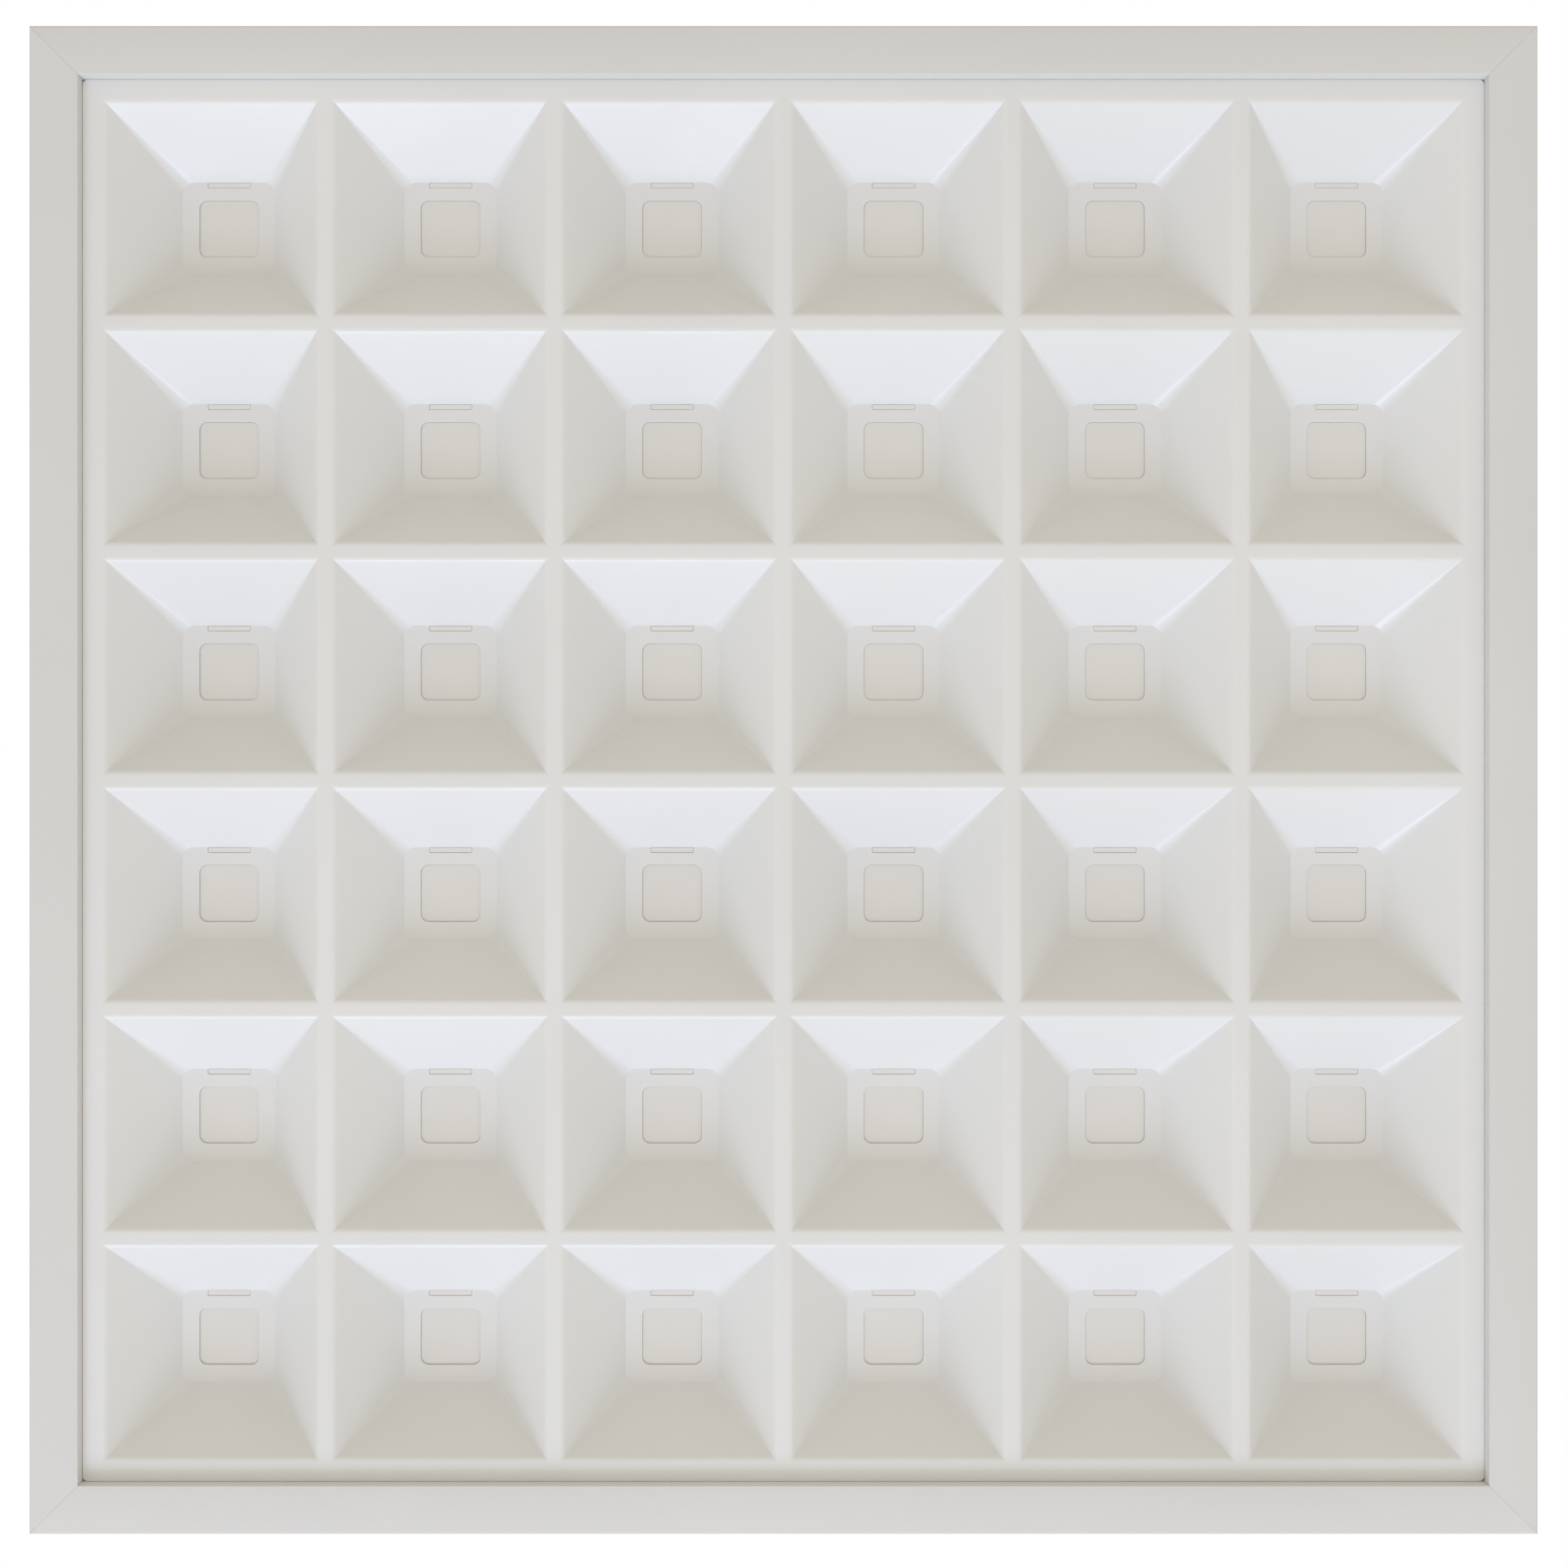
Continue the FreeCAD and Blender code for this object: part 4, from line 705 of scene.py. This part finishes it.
def bush(name, node, ring, place, sizes, sheet):
    """A rubber bush with a flange each side of a sheet.

    sizes are the radii of its bore, neck and flange, and the flange's thickness.
    """
    bore, neck, flange, thickness = sizes
    edge = 0.35 * thickness
    profile = [(bore, -thickness), *soft_disc(flange, -thickness, 0.0, edge), (neck, 0.0), (neck, sheet),
               *soft_disc(flange, sheet, sheet + thickness, edge), (bore, sheet + thickness)]
    build = Builder(name)
    build.ring_faces([ring(radius, along, place) for radius, along in profile], closed=True)
    finish_piece(build.make(MATERIALS["black_rubber"]), "fitting", "black_rubber", node)


ENTRY_Z = TRAY_TOP + 13 * MM
bush("entry_bush", "entry_grommet", crosswise_ring, (0.0, BOX_END - BOX_SHEET, ENTRY_Z),
     (4.5 * MM, 7 * MM, 9.5 * MM, 2.4 * MM), BOX_SHEET)
bush("led_lead_bush", "led_grommet", upright_ring, (*LED_BUSH, BOARD_TOP),
     (3.6 * MM, LED_BUSH_NECK, 6.8 * MM, 1.4 * MM), TRAY_SHEET)


def hinge_pins():
    """The two headed pins on which the lid turns."""
    low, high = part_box("lid_hinge_pins")
    x, z = (low.x + high.x) / 2, (low.z + high.z) / 2
    build = Builder("turned_hinge_pins")
    head, head_length, pin = 2.4 * MM, 1 * MM, 1.5 * MM
    length = 17.4 * MM
    shape = [(head * 0.75, 0.0), (head * 0.94, 0.2 * MM), (head, 0.5 * MM), (head, head_length),
             (pin, head_length), (pin, length - 0.3 * MM), (pin * 0.8, length)]
    for y in (low.y, high.y - length):
        build.solid([crosswise_ring(radius, along, (x, y, z)) for radius, along in shape])
    finish_piece(build.make(MATERIALS["zinc_steel"]), "fitting", "zinc_steel", "lid_hinge_pins")


def cable_saddle():
    """The moulded arch that holds the supply cable."""
    low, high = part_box("cable_clamp")
    foot, outer, inner = 3 * MM, 7.6 * MM, 5 * MM
    centre_z = low.z + inner
    arc = [math.pi * i / 20 for i in range(21)]
    section = [(low.x, low.z), (low.x, low.z + foot), (-outer, low.z + foot)]
    section += [(-outer * math.cos(t), centre_z + outer * math.sin(t)) for t in arc]
    section += [(outer, low.z + foot), (high.x, low.z + foot), (high.x, low.z), (inner, low.z)]
    section += [(inner * math.cos(t), centre_z + inner * math.sin(t)) for t in arc]
    section.append((-inner, low.z))
    build = Builder("cable_saddle")
    build.solid([[(x, y, z) for x, z in section] for y in (low.y, high.y)])
    finish_piece(build.make(MATERIALS["connector_nylon"]), "fitting", "connector_nylon", "cable_clamp")


POLES = [-10 * MM, 0.0, 10 * MM]
BLOCK_TOP = TRAY_TOP + 16 * MM
WIRE_WAY_HEIGHT = 7 * MM


def holed_wall(build, bounds, hole, depth, turn):
    """A rectangle of wall with a round blind hole, laid in the XY plane and then turned."""
    x, y, radius = hole
    edge = 0.25 * MM
    rings = [rectangle(*bounds, 0.0), round_hole(radius + edge, 0.0, x, y), round_hole(radius, -edge, x, y),
             round_hole(radius, -depth, x, y)]
    rings = [[tuple(turn @ Vector(point)) for point in ring] for ring in rings]
    build.ring_faces(rings)
    build.cap(rings[-1])


def terminal_moulding():
    """The terminal block, with round wire ways in both long sides and a round well for each screw."""
    low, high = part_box("terminal_block")
    middle = (low.y + high.y) / 2
    radius = 2.2 * MM
    build = Builder("terminal_moulding")
    edges = [low.x, (POLES[0] + POLES[1]) / 2, (POLES[1] + POLES[2]) / 2, high.x]
    for pole, x0, x1 in zip(POLES, edges, edges[1:]):
        for y, way in ((low.y, 1), (high.y, -1)):
            turn = Matrix.Translation((0, y, low.z)) @ Matrix.Rotation(math.radians(90), 4, "X")
            if way < 0:
                turn = turn @ Matrix.Scale(-1, 4, (0, 0, 1))
            holed_wall(build, (x0, x1, 0.0, high.z - low.z), (pole, WIRE_WAY_HEIGHT, radius), 5 * MM, turn)
        top = Matrix.Translation((0, 0, high.z))
        holed_wall(build, (x0, x1, low.y, high.y), (pole, middle, radius), 4 * MM, top)
    for x in (low.x, high.x):
        build.cap([(x, low.y, low.z), (x, high.y, low.z), (x, high.y, high.z), (x, low.y, high.z)])
    build.cap(rectangle(low.x, high.x, low.y, high.y, low.z))
    finish_piece(build.make(MATERIALS["connector_nylon"]), "fitting", "connector_nylon", "terminal_block")


def slot_ring(length, width, z, place):
    """The outline of a straight slot along Y."""
    points = []
    for angle in CROSS_ANGLES:
        c, s = abs(math.cos(angle)) + 1e-9, abs(math.sin(angle)) + 1e-9
        reach = min(width / c, length / s)
        points.append((place[0] + reach * math.cos(angle), place[1] + reach * math.sin(angle), z))
    return points


def slotted_screws():
    """The clamping screws of the terminal block."""
    build = Builder("slotted_pole_screws")
    radius, top = 2 * MM, BLOCK_TOP + 1 * MM
    slot = (radius * 0.8, radius * 0.16)
    for x in POLES:
        place = (x, BLOCK_Y)
        build.solid([
            fastener_ring(radius, BLOCK_TOP - 3.8 * MM, place),
            fastener_ring(radius, top - 0.3 * MM, place),
            fastener_ring(radius * 0.88, top, place),
            slot_ring(*slot, top, place),
            slot_ring(*slot, top - 0.7 * MM, place),
        ])
    finish_piece(build.make(MATERIALS["zinc_steel"], 30.0), "fitting", "zinc_steel", "terminal_screws")


def insulated_lead(name, node, slot, route, radius):
    """A smooth wire through the points of its route, given in millimetres."""
    curve = bpy.data.curves.new(name, "CURVE")
    curve.dimensions = "3D"
    curve.bevel_depth = radius * MM
    curve.bevel_resolution = 4
    curve.use_fill_caps = True
    curve.materials.append(MATERIALS[slot])
    spline = curve.splines.new("NURBS")
    spline.points.add(len(route) - 1)
    for point, place in zip(spline.points, route):
        point.co = (*(value * MM for value in place), 1.0)
    spline.order_u = 3
    spline.use_endpoint_u = True
    spline.resolution_u = 12
    piece = bpy.data.objects.new(name, curve)
    bpy.context.scene.collection.objects.link(piece)
    finish_piece(piece, "fitting", slot, node)


def earth_tab():
    """The ring terminal of the earth lead, with its crimped barrel."""
    build = Builder("earth_ring_tab")
    thickness, outer, inner = 1 * MM, 4.2 * MM, 2.2 * MM
    low, high = TRAY_TOP, TRAY_TOP + thickness
    section = ((outer, low), (outer, high), (inner, high), (inner, low))
    build.ring_faces([circle(radius, z, TURNED_SIDES, *EARTH) for radius, z in section], closed=True)
    start, end = EARTH[0] - 10.5 * MM, EARTH[0] - 3.9 * MM
    half_width, height, taper = 1.8 * MM, 2.2 * MM, 1.6 * MM
    barrel = [math.pi * i / 10 for i in range(11)]
    build.solid([[(x, EARTH[1] - half_width * math.cos(t), low + rise * math.sin(t)) for t in barrel]
                 for x, rise in ((start, height), (end - taper, height), (end, thickness))])
    finish_piece(build.make(MATERIALS["zinc_steel"]), "fitting", "zinc_steel", "earth_lead")


hinge_pins()
cable_saddle()
terminal_moulding()
slotted_screws()
earth_tab()
# the leads' routes repeat the source's, with one point more beside a short run's corner
for name, node, slot, x, socket_x in (("brown_lead", "live_lead", "lead_brown", -10.0, -9.5),
                                      ("blue_lead", "neutral_lead", "lead_blue", 0.0, -2.5)):
    insulated_lead(name, node, slot, [(x, 109.0, 45.6), (x, 102.333, 45.6), (socket_x, 97.667, 51.6),
                                      (socket_x, 93.0, 51.6)], 1.2)
insulated_lead("green_lead", "earth_lead", "lead_green",
               [(10.0, 109.0, 45.6), (10.0, 98.0, 45.6), (23.6, 98.0, 40.2), (27.8, 98.0, 40.2)], 1.2)
for name, node, slot, socket_x, shift in (("red_lead", "led_lead_plus", "lead_red", 9.5, 1.2),
                                          ("black_lead", "led_lead_minus", "lead_black", 2.5, -1.2)):
    x, y, end_x = 12.0 + shift, -90.85 + shift, 254.925 + shift
    insulated_lead(name, node, slot, [
        (socket_x, -63.0, 51.6), (socket_x, y, 51.6), (x, y, 45.6), (x, y, 34.3), (x + 11.3, y, 34.3),
        (end_x - 37.4, y, 34.3), (end_x, y, 34.3), (end_x, -128.275, 34.3)], 0.9)

# ---- Studio ---------------------------------------------------------------------------------
WORLD_COLOUR = (1.0, 0.95, 0.84)
AMBIENT = 0.80
KEY_POWER = 101.0
KEY_COLOUR = (0.585, 0.685, 0.92)
KEY_PLACE = (-0.66, 3.6, -2.45)
KEY_SIZE = 2.2
ABOVE_POWER = 40.0
ABOVE_COLOUR = (1.0, 0.99, 0.97)
ABOVE_PLACE = (0.8, -1.2, 2.4)
ABOVE_SIZE = 2.0
FLOOR_HALF = 14.0
FLOOR_Z = -3.6
FLOOR_WHITE = 0.85           # the share of plain white that the camera sees in the floor


def white_where_seen(tree, plain, share=1.0):
    """Mixes a plain shader with white for rays from the camera, mirrors and glass."""
    white = tree.nodes.new("ShaderNodeEmission") if plain.node.type != "BACKGROUND" else \
        tree.nodes.new("ShaderNodeBackground")
    white.inputs["Color"].default_value = (1, 1, 1, 1)
    white.inputs["Strength"].default_value = 1.0
    path = tree.nodes.new("ShaderNodeLightPath")
    most = path.outputs["Is Camera Ray"]
    for name in ("Is Glossy Ray", "Is Transmission Ray"):
        larger = tree.nodes.new("ShaderNodeMath")
        larger.operation = "MAXIMUM"
        link(tree, most, larger.inputs[0])
        link(tree, path.outputs[name], larger.inputs[1])
        most = larger.outputs["Value"]
    scaled = tree.nodes.new("ShaderNodeMath")
    scaled.operation = "MULTIPLY"
    scaled.inputs[1].default_value = share
    link(tree, most, scaled.inputs[0])
    mix = tree.nodes.new("ShaderNodeMixShader")
    link(tree, scaled.outputs["Value"], mix.inputs["Fac"])
    link(tree, plain, mix.inputs[1])
    link(tree, white.outputs[0], mix.inputs[2])
    return mix.outputs["Shader"]


def studio_world():
    """White to the camera and in reflections, and a soft, even sky for everything else."""
    world = bpy.data.worlds.new("studio")
    bpy.context.scene.world = world
    world.use_nodes = True
    tree = world.node_tree
    tree.nodes.clear()
    out = tree.nodes.new("ShaderNodeOutputWorld")
    soft = tree.nodes.new("ShaderNodeBackground")
    soft.inputs["Color"].default_value = (*WORLD_COLOUR, 1)
    soft.inputs["Strength"].default_value = AMBIENT
    link(tree, white_where_seen(tree, soft.outputs["Background"]), out.inputs["Surface"])


def softbox(name, place, size, power, colour):
    """A square area light that faces the fitting."""
    lamp = bpy.data.lights.new(name, "AREA")
    lamp.shape = "SQUARE"
    lamp.size = size
    lamp.energy = power
    lamp.color = colour
    holder = bpy.data.objects.new(name, lamp)
    holder.location = place
    holder.rotation_euler = (-Vector(place)).to_track_quat("-Z", "Y").to_euler()
    holder.visible_camera = False
    bpy.context.scene.collection.objects.link(holder)


def floor():
    """A pale floor far below the fitting."""
    build = Builder("floor")
    build.cap(square(FLOOR_HALF, FLOOR_Z))
    material = bpy.data.materials.new("pale_floor")
    material.use_nodes = True
    tree = material.node_tree
    shader = tree.nodes["Principled BSDF"]
    shader.inputs["Base Color"].default_value = (0.8, 0.79, 0.765, 1)
    shader.inputs["Roughness"].default_value = 0.9
    seen = white_where_seen(tree, shader.outputs["BSDF"], FLOOR_WHITE)
    link(tree, seen, tree.nodes["Material Output"].inputs["Surface"])
    build.make(material)


studio_world()
floor()
softbox("key", KEY_PLACE, KEY_SIZE, KEY_POWER, KEY_COLOUR)
softbox("above", ABOVE_PLACE, ABOVE_SIZE, ABOVE_POWER, ABOVE_COLOUR)

# ---- Camera ---------------------------------------------------------------------------------
camera_data = bpy.data.cameras.new("camera")
camera = bpy.data.objects.new("camera", camera_data)
bpy.context.scene.collection.objects.link(camera)
bpy.context.scene.camera = camera
CAMERA_DISTANCE = 0.75
HALF_WIDTH = 0.309
eye = Vector((-0.0066, 0.0275, -CAMERA_DISTANCE))
camera.location = eye
camera.rotation_mode = "QUATERNION"
# looking along +Z with the picture's up along -Y and its right along +X
camera.rotation_quaternion = Matrix(((1, 0, 0), (0, -1, 0), (0, 0, -1))).to_quaternion()
camera_data.sensor_width = 36.0
camera_data.lens = 18.0 * CAMERA_DISTANCE / HALF_WIDTH
# where the picture's middle falls on the trim's face
picture_middle = Vector((0.0002, 0.0016, 0.0))
camera_data.shift_x = (picture_middle.x - eye.x) / (2 * HALF_WIDTH)
camera_data.shift_y = -(picture_middle.y - eye.y) / (2 * HALF_WIDTH)
camera_data.clip_start = 0.01
camera_data.clip_end = 60.0

bpy.context.scene.view_settings.view_transform = "Standard"
